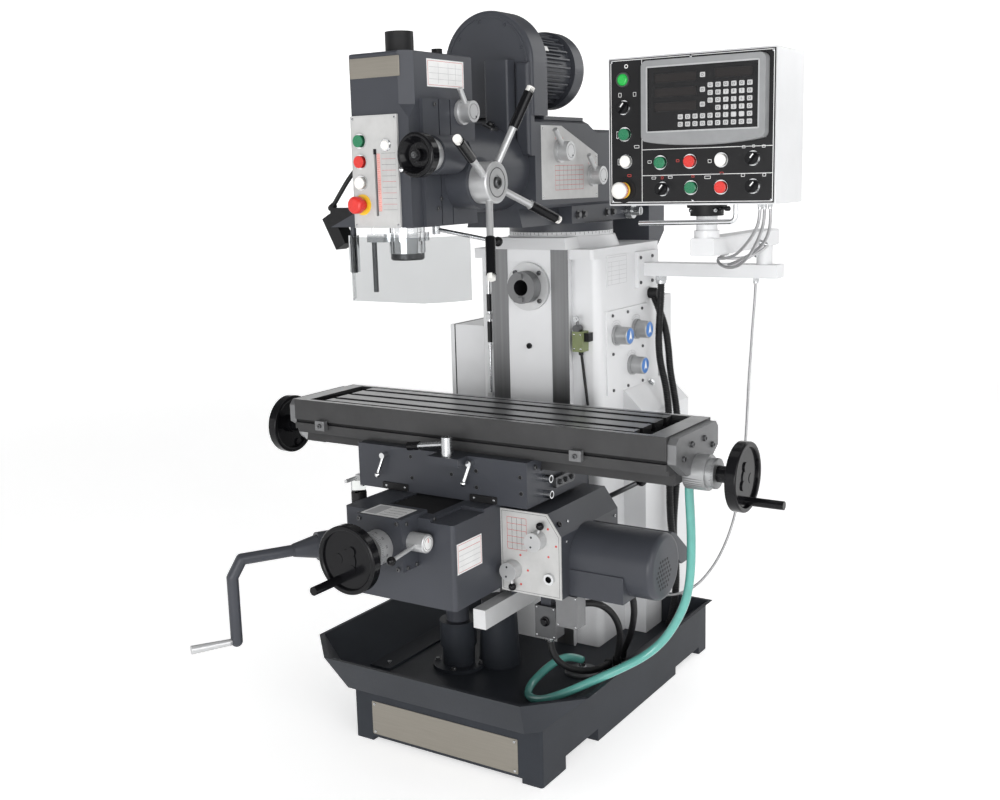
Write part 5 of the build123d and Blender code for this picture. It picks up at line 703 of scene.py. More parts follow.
class Piece:
    """A named piece gathered from turned shapes, plates and figures; every piece made is kept in a list."""
    every = []

    def __init__(self, name, body, slot="bright_steel"):
        self.name = name
        self.body = body
        self.slot = slot
        self.shape = bmesh.new()
        self.looks = []
        Piece.every.append(self)

    def add(self, place, points, loops, look):
        if look not in self.looks:
            self.looks.append(look)
        made = [self.shape.verts.new(place @ Vector(p)) for p in points]
        for loop in loops:
            face = self.shape.faces.new([made[k] for k in loop])
            face.material_index = self.looks.index(look)
            face.smooth = True

    def turned(self, place, rings, look, sides=24, closed=False):
        """A lathe shape: each ring is a radius and a height, and may give a number of flat sides."""
        points, rows = [], []
        for radius, height, *flats in rings:
            row = range(len(points), len(points) + (sides if radius else 1))
            rows.append(row)
            for s in range(len(row)):
                turn = 2 * math.pi * s / sides
                r = radius
                if flats:
                    part = 2 * math.pi / flats[0]
                    r *= math.cos(part / 2) / math.cos(turn % part - part / 2)
                points.append((r * math.cos(turn), r * math.sin(turn), height))
        loops = []
        for a, b in zip(rows, rows[1:] + (rows[:1] if closed else [])):
            for s in range(sides):
                t = (s + 1) % sides
                lower = (a[s], a[t]) if len(a) > 1 else (a[0],)
                upper = (b[t], b[s]) if len(b) > 1 else (b[0],)
                loops.append(lower + upper)
        if not closed:
            loops += [tuple(row) for row in (rows[0], rows[-1]) if len(row) > 1]
        self.add(place, points, loops, look)

    def ring(self, place, inner, outer, low, high, look, sides=40):
        """A square-edged ring."""
        section = [(inner, low), (outer, low), (outer, high), (inner, high)]
        self.turned(place, section, look, sides, closed=True)

    def plate(self, place, outline, height, look, low=0.0, edge=0.0):
        """A flat shape with upright walls; edge is the bevel round its top."""
        rows = [(outline, low), (outline, height - edge)]
        if edge:
            rows.append((shrink(outline, edge), height))
        points = [(x, y, level) for row, level in rows for x, y in row]
        self.add(place, points, skin(len(outline), len(rows)), look)

    def rows(self, place, span, levels, width, height, *looks):
        """Level lines over a span; the looks take turns."""
        for k, level in enumerate(levels):
            line = stroke((span[0], level), (span[1], level), width)
            self.plate(place, line, height, looks[k % len(looks)])

    def columns(self, place, span, places, width, height, *looks):
        """Upright lines over a span; the looks take turns."""
        for k, at in enumerate(places):
            self.plate(place, stroke((at, span[0]), (at, span[1]), width), height, looks[k % len(looks)])

    def border(self, place, x, y, width, height, look):
        """Four strips round a rectangle."""
        self.rows(place, x, y, width, height, look)
        self.columns(place, y, x, width, height, look)

    def rays(self, place, radius, length, turns, half, look, height):
        """Short lines round a middle, each some degrees wide to both sides of its turn."""
        for turn in turns:
            self.plate(place, sector(radius, length, turn - half, turn + half, 1), height, look)

    def figures(self, place, text, size, look, height=0.25):
        """Plain numbers in the default typeface."""
        data = bpy.data.curves.new("figures", "FONT")
        data.body = text
        data.size = size
        data.align_x = "CENTER"
        data.align_y = "CENTER"
        data.extrude = height / 2
        data.resolution_u = 2
        points, loops = read_curve(data)
        self.add(place, [(p.x, p.y, p.z + height / 2) for p in points], loops, look)

    def screw(self, place, kind, radius, look):
        """A screw's head, whose foot stands a millimetre under the surface."""
        rings = [(radius * wide, radius * high, *flats) for wide, high, *flats in SCREW_HEADS[kind]]
        self.turned(place, [(rings[0][0], -1)] + rings, look)

    def hole(self, place, radius, look):
        """The rim of a drilled hole, with painted shade as its dark bottom."""
        self.turned(place, [(radius, -1), (radius, 0.5), (radius * 0.82, 0.6), (radius * 0.82, 0.1)], look)
        # painted shade: a black disc for the shadow inside the hole
        self.turned(place, [(radius * 0.8, 0), (radius * 0.8, 0.15)], BLACK_MATT)

    def gland(self, at, out, bore, radius, length, look):
        """A cable fitting: a hexagon nut with a round collar, open for the cable."""
        self.turned(spot(at, out), [(bore, -0.5), (radius, -0.5, 6), (radius, length * 0.6, 6),
                                    (radius * 0.84, length * 0.62), (radius * 0.8, length), (bore, length)],
                    look, closed=True)

    def ticks(self, at, out, radius, count, longs, lengths, width=0.8):
        """Graduations round a drum, running back from the place given; longs is every how many are long."""
        for k, side in enumerate(sides_round(out, count)):
            length = lengths[0] if k % longs == 0 else lengths[1]
            place = spot(at + side * radius, side, out)
            self.plate(place, rectangle((-width / 2, width / 2), (-length, 0)), TICK_LIFT, INK, low=-0.8)

    def done(self):
        bmesh.ops.recalc_face_normals(self.shape, faces=self.shape.faces)
        mesh = bpy.data.meshes.new(self.name)
        self.shape.to_mesh(mesh)
        self.shape.free()
        for look in self.looks:
            mesh.materials.append(look)
        mesh.set_sharp_from_angle(angle=SHARP_EDGE)
        made = link(self.name, mesh)
        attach(made, self.body)


def screw_set(name, body, node_name, out, level, places, radius, kind="cap", look=DARK_STEEL):
    """Screws of one kind, each seated on the node's surface."""
    piece = Piece(name, body)
    for at in places:
        piece.screw(on_node(node_name, out, level, at), kind, radius, look)


# Column, cabinet and cable fittings
FLANGE_BOLT_RADIUS = 55
GEAR_PAD_SCREWS = (
    (78, 1125), (172, 1126), (264, 1127), (80, 1016), (268, 1015), (81, 912), (172, 912), (267, 912),
)
COLUMN_PLATE = ((57, 172), (1212, 1288))
KNOB_FRONT_X = 243.3
KNOB_TURNS = (50, 90, 130)
SEAL_X = (-300, -296.5)
CABINET_Y = (20, 370)
CABINET_Z = (486, 1086)
ARM_GLANDS = (
    ((592, 170, 1328), (0.9, 0, -0.3)), ((528, 120, 1318), (-0.4, 0, -0.9)), ((584, 166, 1312), (0, 0, -1)),
)


def column_details():
    flange = [around(SPINDLE, FLANGE_BOLT_RADIUS, turn) for turn in (45, 135, 225, 315)]
    screw_set("flange_screws", "frame", "column", FRONT, -49, flange, 6.5)
    screw_set("way_plug", "frame", "column", FRONT, -37, [(-4, 1045)], 8, look=BLACK_MATT)
    screw_set("gear_pad_screws", "frame", "column", RIGHT, GEAR_PAD_X, GEAR_PAD_SCREWS, 4.5)
    screw_set("arm_bracket_screws", "frame", "column", RIGHT, 207, pairs((241, 318), (1276, 1204)), 5)
    rear = pairs((-180, 180), (476, 805, 1134))
    screw_set("rear_cover_screws", "frame", "column", BACK, 485, rear, 5, "dome", STEEL)
    screw_set("column_side_plug", "frame", "column", (1, 0, 0.9), 200, [(319, 895)], 9, "hex", STEEL)
    scale = Piece("turret_scale", "frame", "black_plastic")
    scale.ticks(point(UP, 1359.6, TURRET), UP, 150, count=72, longs=2, lengths=(8, 5), width=1.2)
    lines = Piece("column_plate_lines", "frame", "black_plastic")
    side = on_face(RIGHT, COLUMN_SIDE_X)
    lines.border(side, *COLUMN_PLATE, 0.8, THIN_PRINT, PALE_INK)
    lines.rows(side, COLUMN_PLATE[0], steps(1224.6, 12.6, 5), 0.7, THIN_PRINT, PALE_INK)
    lines.columns(side, (1212, 1275), (80, 126), 0.7, THIN_PRINT, PALE_INK)


def knob_details():
    """The arcs printed beside the speed knobs, and the knobs' blue caps with white arrows."""
    arcs = Piece("knob_arcs", "frame", "black_plastic")
    for number, at in enumerate(COLUMN_KNOBS, 1):
        pad = on_face(RIGHT, GEAR_PAD_X, at)
        for radius in (35, 42):
            arcs.plate(pad, sector(radius, 0.9, KNOB_TURNS[0], KNOB_TURNS[-1]), THIN_PRINT, PALE_INK)
        arcs.rays(pad, 38.5, 7, KNOB_TURNS, 0.7, PALE_INK, THIN_PRINT)
        name = f"column_knob_{number}"
        cap = Piece(name + "_face", name, "white_plastic")
        front = on_node(name, RIGHT, KNOB_FRONT_X, at)
        cap.turned(front, [(22, -0.5), (22, 0.6), (21, 1.2), (0, 1.2)], BLUE, sides=32)
        cap.plate(front, [(0, -6), (9, -11), (0, 15), (-9, -11)], 1.5, WHITE_INK)


def switch_details():
    switch = Piece("limit_switch_parts", "frame")
    for at in pairs((136, 156), (1083, 1043)):
        switch.screw(on_node("column", FRONT, SWITCH_Y, at), "dome", 3, STEEL)
    switch.border(on_face(FRONT, SWITCH_Y), (132.5, 159.5), (1038, 1088), 0.8, 0.4, OLIVE)
    roller = [(2.5, -2), (2.5, 0), (8, 0), (8.6, 1), (8.6, 6), (8, 7), (3, 7), (3, 9), (0, 9)]
    switch.turned(on_face(FRONT, -24, (142, 1126)), roller, STEEL)
    switch.gland((146, -10, 1035), DOWN, 4.3, 8, 11, BLACK_MATT)
    grommet = [(10, -0.5), (10, 7), (7, 11), (0, 12)]
    switch.turned(on_face(FRONT, 5, (171, 744)), grommet, BLACK_MATT)
    switch.ring(on_face(UP, 1024, LIMIT_ROD), 4.1, 6.6, 0, 13, SATIN, 24)


def cabinet_details():
    seal = Piece("cabinet_seal", "frame", "black_rubber")
    for out, level, span in ((FRONT, CABINET_Y[0], CABINET_Z), (BACK, CABINET_Y[1], CABINET_Z),
                             (UP, CABINET_Z[1], CABINET_Y), (DOWN, CABINET_Z[0], CABINET_Y)):
        strip = SEAL_X if out in (FRONT, UP) else (-SEAL_X[1], -SEAL_X[0])
        seal.plate(on_face(out, level), rectangle(strip, span), 0.6, RUBBER, low=-0.3)


def cable_fittings():
    fixed = Piece("column_glands", "frame")
    fixed.gland((247, 295, 1222), DOWN, 11.3, 18, 24, STEEL)
    fixed.gland((541, 282, 1222), DOWN, 4.3, 9, 15, STEEL)
    fixed.gland((265, 168, 294), RIGHT, 4.3, 9, 15, STEEL)
    fixed.turned(spot((195, 326, 1166), RIGHT), [(16, -0.5), (16, 20), (13, 26), (0, 28)], BLACK_MATT)
    for route in CONDUIT_ROUTES:
        x, y = route[-1][:2]
        fixed.gland(seat("base_casting", (x, y, 190), UP), UP, 11.3, 17, 16, BLACK_MATT)
    arm = Piece("swing_arm_glands", "swing_arm")
    for at, out in ARM_GLANDS:
        arm.turned(spot(at, out), [(7, -2), (7, 6), (5.8, 8), (5.8, 20), (3, 24), (0, 25)], STEEL)
    panel = Piece("panel_glands", "panel")
    for route in CABLE_ROUTES:
        panel.gland((route[0][0], route[0][1], 1440), DOWN, 4.2, 5.9, 13, STEEL)
    head = Piece("head_glands", "head", "black_plastic")
    head.gland((-82, -589, 1577), (-1, -0.2, -0.3), 5.7, 11, 16, BLACK_MATT)
    head.gland((-203, -628, 1449), (0.65, 0, 0.75), 5.7, 10, 16, BLACK_MATT)


# Control panel
FASCIA = ((364, 773), (1448, 1783))
FASCIA_POST_X = 446
FASCIA_SCREWS = ((366, 1780), (571, 1781), (771, 1780), (577, 1451), (770, 1451), (367, 1451))
PANEL_FLANGE = Vector((560, -110, 1424))
PALE_MARKS = (
    (388, 1703, 7, 9), (427, 1703, 7, 9), (381, 1609, 5, 16), (384, 1545, 5, 14), (432, 1580, 12, 6),
    (466, 1543, 9, 6), (620, 1541, 8, 7), (703, 1571, 7, 5), (727, 1572, 5, 5), (751, 1571, 7, 5),
    (477, 1505, 10, 5), (520, 1506, 10, 5), (615, 1504, 14, 6), (702, 1507, 8, 6), (753, 1507, 7, 6),
)
RED_MARKS = ((412, 1512, 9, 5), (539, 1544, 7, 5), (499, 1505, 5, 5), (578, 1507, 6, 4), (650, 1513, 8, 4))
READOUT_X = (462, 758)
READOUT_FOOT_Z = 1591
READOUT_BOW = 12.5
BOW_STEPS = 16
KEY_COLUMNS = steps(630, 19, 6)
KEY_ROWS = steps(1627, 17, 6)
SIDE_KEYS = pairs((556, 574.5, 593, 611.5), KEY_ROWS[:2]) + pairs((611,), (1736, 1703, 1670))
DISPLAYS = [((490, 596), (z, z + 20)) for z in (1724, 1691, 1658)] + [((641, 731), (1727, 1748))]


def fascia_details():
    lines = Piece("fascia_lines", "panel", "white_plastic")
    face = on_face(FRONT, FASCIA_Y)
    lines.border(face, *FASCIA, 1.6, FASCIA_PRINT, WHITE_INK)
    lines.columns(face, FASCIA[1], [FASCIA_POST_X], 1.4, FASCIA_PRINT, WHITE_INK)
    lines.rows(face, (FASCIA_POST_X, FASCIA[0][1]), (1572, 1511), 1.4, FASCIA_PRINT, WHITE_INK)
    for marks, look in ((PALE_MARKS, WHITE_INK), (RED_MARKS, RED_INK)):
        for x, z, wide, high in marks:
            lines.border(on_face(FRONT, FASCIA_Y, (x, z)), (-wide / 2, wide / 2), (-high / 2, high / 2),
                         1.1, FASCIA_PRINT, look)
    lines.ring(on_face(FRONT, FASCIA_Y, (405, 1769)), 3, 5, 0, FASCIA_PRINT, WHITE_INK, 24)
    screw_set("fascia_screws", "panel", "panel_face", FRONT, FASCIA_Y, FASCIA_SCREWS, 3.2, "dome", STEEL)
    back = pairs((372, 568, 764), (1456, 1774))
    screw_set("panel_back_screws", "panel", "panel_box", BACK, -55, back, 4, "dome", STEEL)
    rings = Piece("lamp_ring", "panel")
    rings.turned(on_face(FRONT, FASCIA_Y, PANEL_LAMP),
                 [(14.3, -0.5), (18, -0.5), (18, 3), (16.5, 5), (14.3, 5)], DARK_STEEL, 32, closed=True)
    rings.turned(on_face(FRONT, FASCIA_Y, PANEL_STOP),
                 [(13.6, 6.5), (19.5, 6.5), (19.5, 9.5), (18, 11), (13.6, 11)], YELLOW, 40, closed=True)


def panel_fittings():
    """The white pointers on the selectors, and the screws and clamp of the panel's flange."""
    for name in SELECTORS:
        pointer = Piece(name + "_pointer", "selector_" + name, "white_plastic")
        low, high = box_of("selector_" + name)
        front = spot(((low.x + high.x) / 2, low.y, (low.z + high.z) / 2), FRONT)
        pointer.plate(front, stroke((0.6, 0.8), (8.2, 9.8), 3), 0.5, WHITE_INK, low=-0.5)
    fitting = Piece("panel_flange_parts", "panel", "black_plastic")
    for turn in (-40, -140):
        out = Vector((*around((0, 0), 1, turn), 0))
        fitting.screw(spot(PANEL_FLANGE + out * 41, out), "cap", 5, STEEL)
    out = Vector((0.9, -0.42, 0))
    clamp = [(5, 0), (5, 10), (3.5, 12), (3.5, 26), (6, 28), (6, 38), (4, 40), (0, 40)]
    fitting.turned(spot(PANEL_FLANGE + UP * 4 + out * 40, out), clamp, BLACK)


def readout_case():
    """The readout's pale rim and the bowed foot under it."""
    case = Piece("readout_rim", "panel", "black_plastic")
    case.border(on_face(FRONT, BEZEL_Y), (471, 747), (1612, 1761), 3.2, 0.9, LIGHT_BEZEL)
    bow = []
    for k in range(BOW_STEPS + 1):
        part = k / BOW_STEPS
        sag = READOUT_BOW * math.sin(math.pi * part) ** 0.7
        bow.append((READOUT_X[0] + (READOUT_X[1] - READOUT_X[0]) * part, READOUT_FOOT_Z - sag))
    top = [(x, READOUT_FOOT_Z + 5) for x in reversed(READOUT_X)]
    case.plate(on_face(FRONT, -242), bow + top, 21.9, GREY_BEZEL, edge=2)


def readout_front():
    """The keys, those of the number block with their figures, and the displays."""
    keys = Piece("readout_keys", "panel", "white_plastic")
    block = [at for at in pairs(KEY_COLUMNS, KEY_ROWS) if at != (KEY_COLUMNS[0], KEY_ROWS[2])]
    for x, z in block + SIDE_KEYS:
        key = on_face(FRONT, DISPLAY_Y, (x, z))
        keys.plate(key, rounded((-6.2, 6.2), (-5.6, 5.6), 2), 1.8, KEY, low=-0.3, edge=0.6)
        if not (KEY_COLUMNS[2] <= x <= KEY_COLUMNS[4] and KEY_ROWS[1] <= z <= KEY_ROWS[4]):
            keys.border(key, (-2.6, 2.6), (-2, 2), 1.2, 2.1, INK)
    for number in range(10):
        column, row = ((number - 1) % 3, (number + 2) // 3) if number else (0, 0)
        at = (KEY_COLUMNS[2 + column], KEY_ROWS[row + 1])
        keys.figures(on_face(FRONT, DISPLAY_Y - 1.8, at), str(number), 9, INK)
    show = Piece("readout_displays", "panel", "black_plastic")
    for x, z in DISPLAYS:
        show.plate(on_face(FRONT, DISPLAY_Y), rectangle(x, z), 0.4, DISPLAY, low=-0.3)
        show.border(on_face(FRONT, DISPLAY_Y), x, z, 1.2, 0.9, BLACK_MATT)


# Head and ram
DEPTH_SCALE_X = (-8.5, 1)
DEPTH_SCALE_Z = (1447, 1577)
DEPTH_PITCH = 5
HEAD_TABLE_X = (5, 45)
HEAD_TABLE_Z = (1450, 1578)
ROW_PITCH = 12.8
HEAD_PLATE_SCREWS = ((-75, 1657), (46, 1657), (46, 1415), (-76, 1415))
HEAD_SIDE_SCREWS = ((-593, 1686), (-591, 1449), (-578, 1471))
LEVER_RADIUS = 30
RAM_PLATE = ((-179, 1455), (130, 1452), (130, 1571), (-73, 1645), (-179, 1645))
RAM_TABLE_X = (-108, 45)
RAM_TABLE_Z = (1478, 1542)
RAM_PLATE_SCREWS = ((-170, 1637), (-170, 1463), (121, 1461), (121, 1565))
RAM_LEVERS = ((-86, 1579), (96, 1513))
BELT_SCREW_RADIUS = 110
BELT_BEAD_RADIUS = 119
FIN_COUNT = 28
FIN_FOOT = 89.5
GRILLE_ROWS = ((26, 6), (44, 10), (62, 14), (80, 18))


def head_plate_details():
    """The band over the control plate, and the plate's lines, screws and lamp ring."""
    band = Piece("head_band", "head")
    outline = rounded((-80, 62), (1747, 1792), 2)
    band.plate(on_face(FRONT, HEAD_FRONT_Y), outline, TRIM_THICK, CHAMPAGNE, low=-0.5, edge=0.5)
    lines = Piece("head_plate_lines", "head", "black_plastic")
    face = on_face(FRONT, HEAD_PLATE_Y)
    lines.border(face, (-79, 49), (1411, 1661), 0.9, THIN_PRINT, PALE_INK)
    lines.plate(face, rectangle(DEPTH_SCALE_X, DEPTH_SCALE_Z), THIN_PRINT, PINK_INK)
    left = DEPTH_SCALE_X[0]
    levels = steps(DEPTH_SCALE_Z[0], DEPTH_PITCH, 27)
    lines.rows(face, (left, left + 8), levels[::2], 0.6, 0.35, RED_INK)
    lines.rows(face, (left, left + 5.5), levels[1::2], 0.6, 0.35, RED_INK)
    lines.rows(face, HEAD_TABLE_X, steps(HEAD_TABLE_Z[0], ROW_PITCH, 11), 0.7, 0.25, INK, RED_INK)
    lines.columns(face, HEAD_TABLE_Z, (5, 18.3, 31.6, 45), 0.6, THIN_PRINT, PALE_INK)
    lines.plate(face, rectangle((-17, -9), (1576, 1588)), 2.2, BLACK, edge=0.6)
    screw_set("head_plate_screws", "head", "head_panel", FRONT, HEAD_PLATE_Y, HEAD_PLATE_SCREWS, 3.2,
              "dome", STEEL)
    ring = Piece("head_lamp_ring", "head")
    ring.turned(on_face(FRONT, HEAD_PLATE_Y, HEAD_LAMP),
                [(11.2, -0.5), (14.5, -0.5), (14.5, 3), (13, 5), (11.2, 5)], CHROME, 32, closed=True)


def head_side_details():
    label = Piece("head_side_label", "head", "white_plastic")
    side = on_face(RIGHT, HEAD_SIDE_X)
    label.plate(side, rectangle((-605, -456), (1726, 1788)), LABEL_THICK, WHITE_PLATE, low=-0.3)
    label.border(side, (-601, -460), (1730, 1784), 0.8, LABEL_PRINT, RED_INK)
    label.rows(side, (-596, -466), steps(1743.5, 13.5, 3), 0.8, LABEL_PRINT, PALE_INK)
    label.columns(side, (1734, 1780), (-560, -520, -490), 0.8, LABEL_PRINT, PALE_INK)
    screw_set("head_side_screws", "head", "head_casting", RIGHT, 91, HEAD_SIDE_SCREWS, 5)


def head_controls():
    scale = Piece("fine_feed_scale", "head", "black_plastic")
    scale.ticks(point(FRONT, -690, FINE_FEED), FRONT, 38, count=50, longs=5, lengths=(12, 7))
    wheel = Piece("fine_wheel_parts", "fine_feed_wheel")
    nut = [(8, -1), (8, 5, 6), (7, 6), (4, 6), (4, 9), (3, 10), (0, 10)]
    wheel.turned(on_node("fine_feed_wheel", FRONT, -720, FINE_FEED), nut, DARK_STEEL)
    wheel.turned(on_node("fine_feed_wheel", FRONT, -747, (106, 1539.7)),
                 [(5.5, -1), (5.5, 1), (3.5, 2.6), (0, 3)], CHROME)
    hub = Piece("capstan_screw", "capstan")
    hub.screw(on_node("capstan", RIGHT, 198, CAPSTAN), "cap", 13, DARK_STEEL)
    hub.ring(on_face(RIGHT, 198.3, CAPSTAN), 33, 35, -0.5, 0.5, DARK_STEEL)
    for name in ("head_gear_lever", "ram_lever_front", "ram_lever_rear"):
        lever_face(name)


def lever_face(name):
    """The turned groove and the pin hole on a round lever knob's face."""
    low, high = box_of(name)
    middle = (high.y - LEVER_RADIUS, low.z + LEVER_RADIUS)
    face = Piece(name + "_face", name)
    at = seat(name, (high.x, middle[0] + 9, middle[1] - 12), RIGHT)
    face.hole(spot(at, RIGHT), 3.4, STEEL)
    face.ring(on_face(RIGHT, at.x, middle), 17, 18, -0.5, 0.35, DARK_STEEL)


def ram_details():
    plate = Piece("ram_plate", "ram", "white_plastic")
    side = on_face(RIGHT, RAM_SIDE_X)
    plate.plate(side, RAM_PLATE, THIN_PRINT, CONTROL_PLATE)
    plate.rows(side, RAM_TABLE_X, steps(RAM_TABLE_Z[0], ROW_PITCH, 6), 1, 0.27, RED_INK)
    places = steps(RAM_TABLE_X[0], (RAM_TABLE_X[1] - RAM_TABLE_X[0]) / 7, 8)
    plate.columns(side, RAM_TABLE_Z, places, 0.8, 0.27, RED_INK, *[INK] * 6)
    for at in RAM_LEVERS:
        plate.rays(on_face(RIGHT, RAM_SIDE_X, at), 38, 7, (60, 90, 120), 1, RED_INK, 0.27)
    screw_set("ram_plate_screws", "ram", "ram_housing", RIGHT, RAM_SIDE_X, RAM_PLATE_SCREWS, 3, "dome",
              STEEL)
    clamp = Piece("drive_box_clamp", "ram", "black_plastic")
    out = Vector((0.46, 0, 0.89))
    place = spot(seat("ram_housing", (51, -296, 1639), out), out)
    clamp.plate(place, rounded((-17, 17), (-16, 16), 3), 5, DARK_STEEL, low=-1, edge=1)
    clamp.screw(place @ Matrix.Translation((0, 2, 5)), "hex", 9, BLACK)
    bolts = [(y, 1408) for y in (30, 64, 200, 240)]
    screw_set("turret_bolts", "turret", "turret", RIGHT, 120, bolts, 9, "hex")


def motor_details():
    cover = [around(MOTOR, BELT_SCREW_RADIUS, turn) for turn in (20, 60, 100, 140, 180)]
    screw_set("belt_cover_screws", "ram", "drive_motor", FRONT, BELT_COVER_Y, cover, 4.5, "dome", SLATE)
    bead = Piece("belt_cover_bead", "ram", "slate_paint")
    bead.plate(on_face(FRONT, BELT_COVER_Y, MOTOR), sector(BELT_BEAD_RADIUS, 4, -4, 184, 48), 2, SLATE,
               low=-0.5, edge=0.7)
    motor = Piece("motor_plate", "ram")
    motor.plate(motor_side(63, 97.5, -78), rounded((-7, 7), (-14, 14), 2), 2.5, BARE_PLATE, edge=0.5)
    for k in range(FIN_COUNT):
        place = motor_side(360 / FIN_COUNT * (k + 0.5), FIN_FOOT, 0)
        motor.plate(place, rectangle((-1.6, 1.6), (-146, 4)), 8.5, SLATE, edge=0.6)
    # Black slits on the fan cowl: painted shade inside its openings.
    grille = Piece("fan_grille", "ram", "black_plastic")
    for radius, count in GRILLE_ROWS:
        part = 360 / count
        for start in steps(0, part, count):
            slit = sector(radius, 8, start, start + part * 0.72, 5)
            grille.plate(on_face(BACK, COWL_Y, MOTOR), slit, 0.3, BLACK_MATT)


def motor_side(degrees, radius, y):
    """The frame on the motor's round side, some degrees from its top."""
    turn = math.radians(degrees)
    out = Vector((math.sin(turn), 0, math.cos(turn)))
    return spot(point(FRONT, y, MOTOR) + out * radius, out, BACK)


# Knee and feed gearbox
FEED_PLATE = ((170, 496), (333, 496), (333, 650), (298, 700), (170, 700))
FEED_TABLE_X = (185, 241)
FEED_TABLE_Z = (603, 685.5)
FEED_DOTS = ((303, 668), (325, 627), (303, 597), (222, 590), (243, 553), (222, 514))
SLOPE = Vector((54, 0, 38))
GEARBOX_SCREWS = (
    ((320, -452, 676), SLOPE, 7, BLACK), ((338, -446, 634), RIGHT, 4, STEEL),
    ((322, -412, 674), SLOPE, 4, STEEL), ((338, -391, 508), RIGHT, 5, BLACK),
    ((338, -190, 508), RIGHT, 5, BLACK), ((338, -190, 634), RIGHT, 4, STEEL),
)
VENT_PITCH = 13
VENT_ROW_PITCH = 11.3
VENT_REACH = 42


def knee_plates():
    """The labels on the knee's nose and side, and the nose's screws."""
    label = Piece("knee_nose_label", "knee", "white_plastic")
    top = on_face(UP, NOSE_TOP_Z)
    label.plate(top, rectangle((-68, 44), (-736, -658)), LABEL_THICK, WHITE_PLATE, low=-0.3)
    label.plate(top, rectangle((-60, -26), (-730, -664)), LABEL_PRINT, PALE_INK)
    label.rows(top, (-18, 38), steps(-725, 18, 4), 1, LABEL_PRINT, INK)
    screw_set("nose_front_screws", "knee", "knee_casting", FRONT, -745, pairs((-65, 48), (718, 605)), 5.5)
    side_screws = [(-727, 715), (-663, 715), (-727, 606), (-692, 606)]
    screw_set("nose_side_screws", "knee", "knee_casting", RIGHT, 62, side_screws, 5)
    sticker = Piece("knee_side_plate", "knee", "white_plastic")
    side = on_face(RIGHT, KNEE_SIDE_X)
    sticker.plate(side, rectangle((-668, -562), (586, 662)), LABEL_THICK, WHITE_PLATE, low=-0.3)
    sticker.border(side, (-664, -566), (590, 658), 0.9, LABEL_PRINT, RED_INK)
    sticker.rows(side, (-660, -570), steps(603.5, 13.5, 4), 1, LABEL_PRINT, *[PALE_INK] * 3, RED_INK)


def knee_dials():
    """The cross-feed dial's graduations and figures, and the nose lever's face."""
    dial = Piece("cross_dial_scale", "knee", "black_plastic")
    dial.ticks(point(FRONT, -789, CROSS_DIAL), FRONT, 42, count=60, longs=5, lengths=(14, 8))
    for k, out in enumerate(sides_round(FRONT, 12)):
        place = spot(point(FRONT, -767, CROSS_DIAL) + out * 42, out, FRONT)
        dial.figures(place, str(5 * k), 8, INK, height=0.6)
    cap = Piece("nose_lever_dial", "knee_nose_lever", "white_plastic")
    front = on_node("knee_nose_lever", RIGHT, 110.3, (-708, 668))
    cap.turned(front, [(18, -0.5), (18, 0.5), (17, 0.9), (0, 0.9)], WHITE_PLATE, sides=32)
    cap.ring(front, 14, 15.2, 0, 1.1, INK, 32)
    cap.plate(front, stroke((0, 3), (0, 13), 2), 1.2, RED_INK)


def feed_plate_details():
    lines = Piece("feed_plate_lines", "knee", "black_plastic")
    face = on_face(FRONT, FEED_PLATE_Y)
    for a, b in zip(FEED_PLATE, FEED_PLATE[1:] + FEED_PLATE[:1]):
        lines.plate(face, stroke(a, b, 1.1), THIN_PRINT, INK)
    lines.rows(face, FEED_TABLE_X, steps(FEED_TABLE_Z[0], 16.5, 6), 0.9, 0.25, RED_INK)
    lines.columns(face, FEED_TABLE_Z, steps(FEED_TABLE_X[0], 14, 5), 0.8, 0.22, RED_INK, INK, INK, INK)
    for at in FEED_DOTS:
        lines.turned(on_face(FRONT, FEED_PLATE_Y, at), [(3, 0), (3, 0.22)], RED_INK, sides=16)
    for name, middle in FEED_KNOBS.items():
        face = Piece(name + "_face", name)
        for turn in (100, 250):
            face.hole(on_node(name, FRONT, -505, around(middle, 13, turn)), 3, STEEL)


def gearbox_details():
    screws = Piece("gearbox_screws", "knee")
    for at, out, radius, look in GEARBOX_SCREWS:
        screws.screw(spot(seat("feed_gearbox", at, out), out), "cap", radius, look)
    for y, places in ((-421, pairs((233, 283), (365, 439))), (-441, pairs((307, 357), (412, 486)))):
        for at in places:
            screws.screw(on_node("feed_gearbox", FRONT, y, at), "dome", 3, STEEL)
    button = [(13, -0.5), (13, 3), (9, 4), (9, 9), (7.5, 11), (0, 11)]
    screws.turned(on_face(FRONT, -421, (258, 404)), button, BLACK)
    screws.gland((258, -399, 360), DOWN, 9.2, 14, 16, STEEL)
    screws.gland((330.5, -397, 452.6), (0.3, 0.95, 0), 9.2, 14, 14, STEEL)
    screws.gland((419.6, -297, 511), (0, 0.6, -0.8), 9.2, 14, 14, STEEL)
    # Black discs on the feed motor's end: painted shade inside its vent holes.
    vents = Piece("feed_motor_vents", "knee", "black_plastic")
    for row, column in pairs(range(-3, 4), range(-3, 4)):
        y = VENT_PITCH * (column + row % 2 / 2)
        z = VENT_ROW_PITCH * row
        if math.hypot(y, z) < VENT_REACH:
            place = on_node("feed_gearbox", RIGHT, 560, (FEED_MOTOR[0] + y, FEED_MOTOR[1] + z))
            vents.turned(place, [(3.6, -0.5), (3.6, 0.25)], BLACK_MATT, sides=14)


# Saddle and table
SADDLE_HOLES = (
    (-89, 814), (-87, 758), (75, 814), (38, 782), (113, 799), (113, 757), (242, 797), (244, 756),
)
OIL_PLATE_THICK = 12
WIPER_THICK = 4
BRACKET_BOLTS = ((-386, 897), (-314, 897), (-434, 872), (-266, 872))
SLOT_ROWS = (-415, -350, -285)
SLOT_EDGE = 8.5


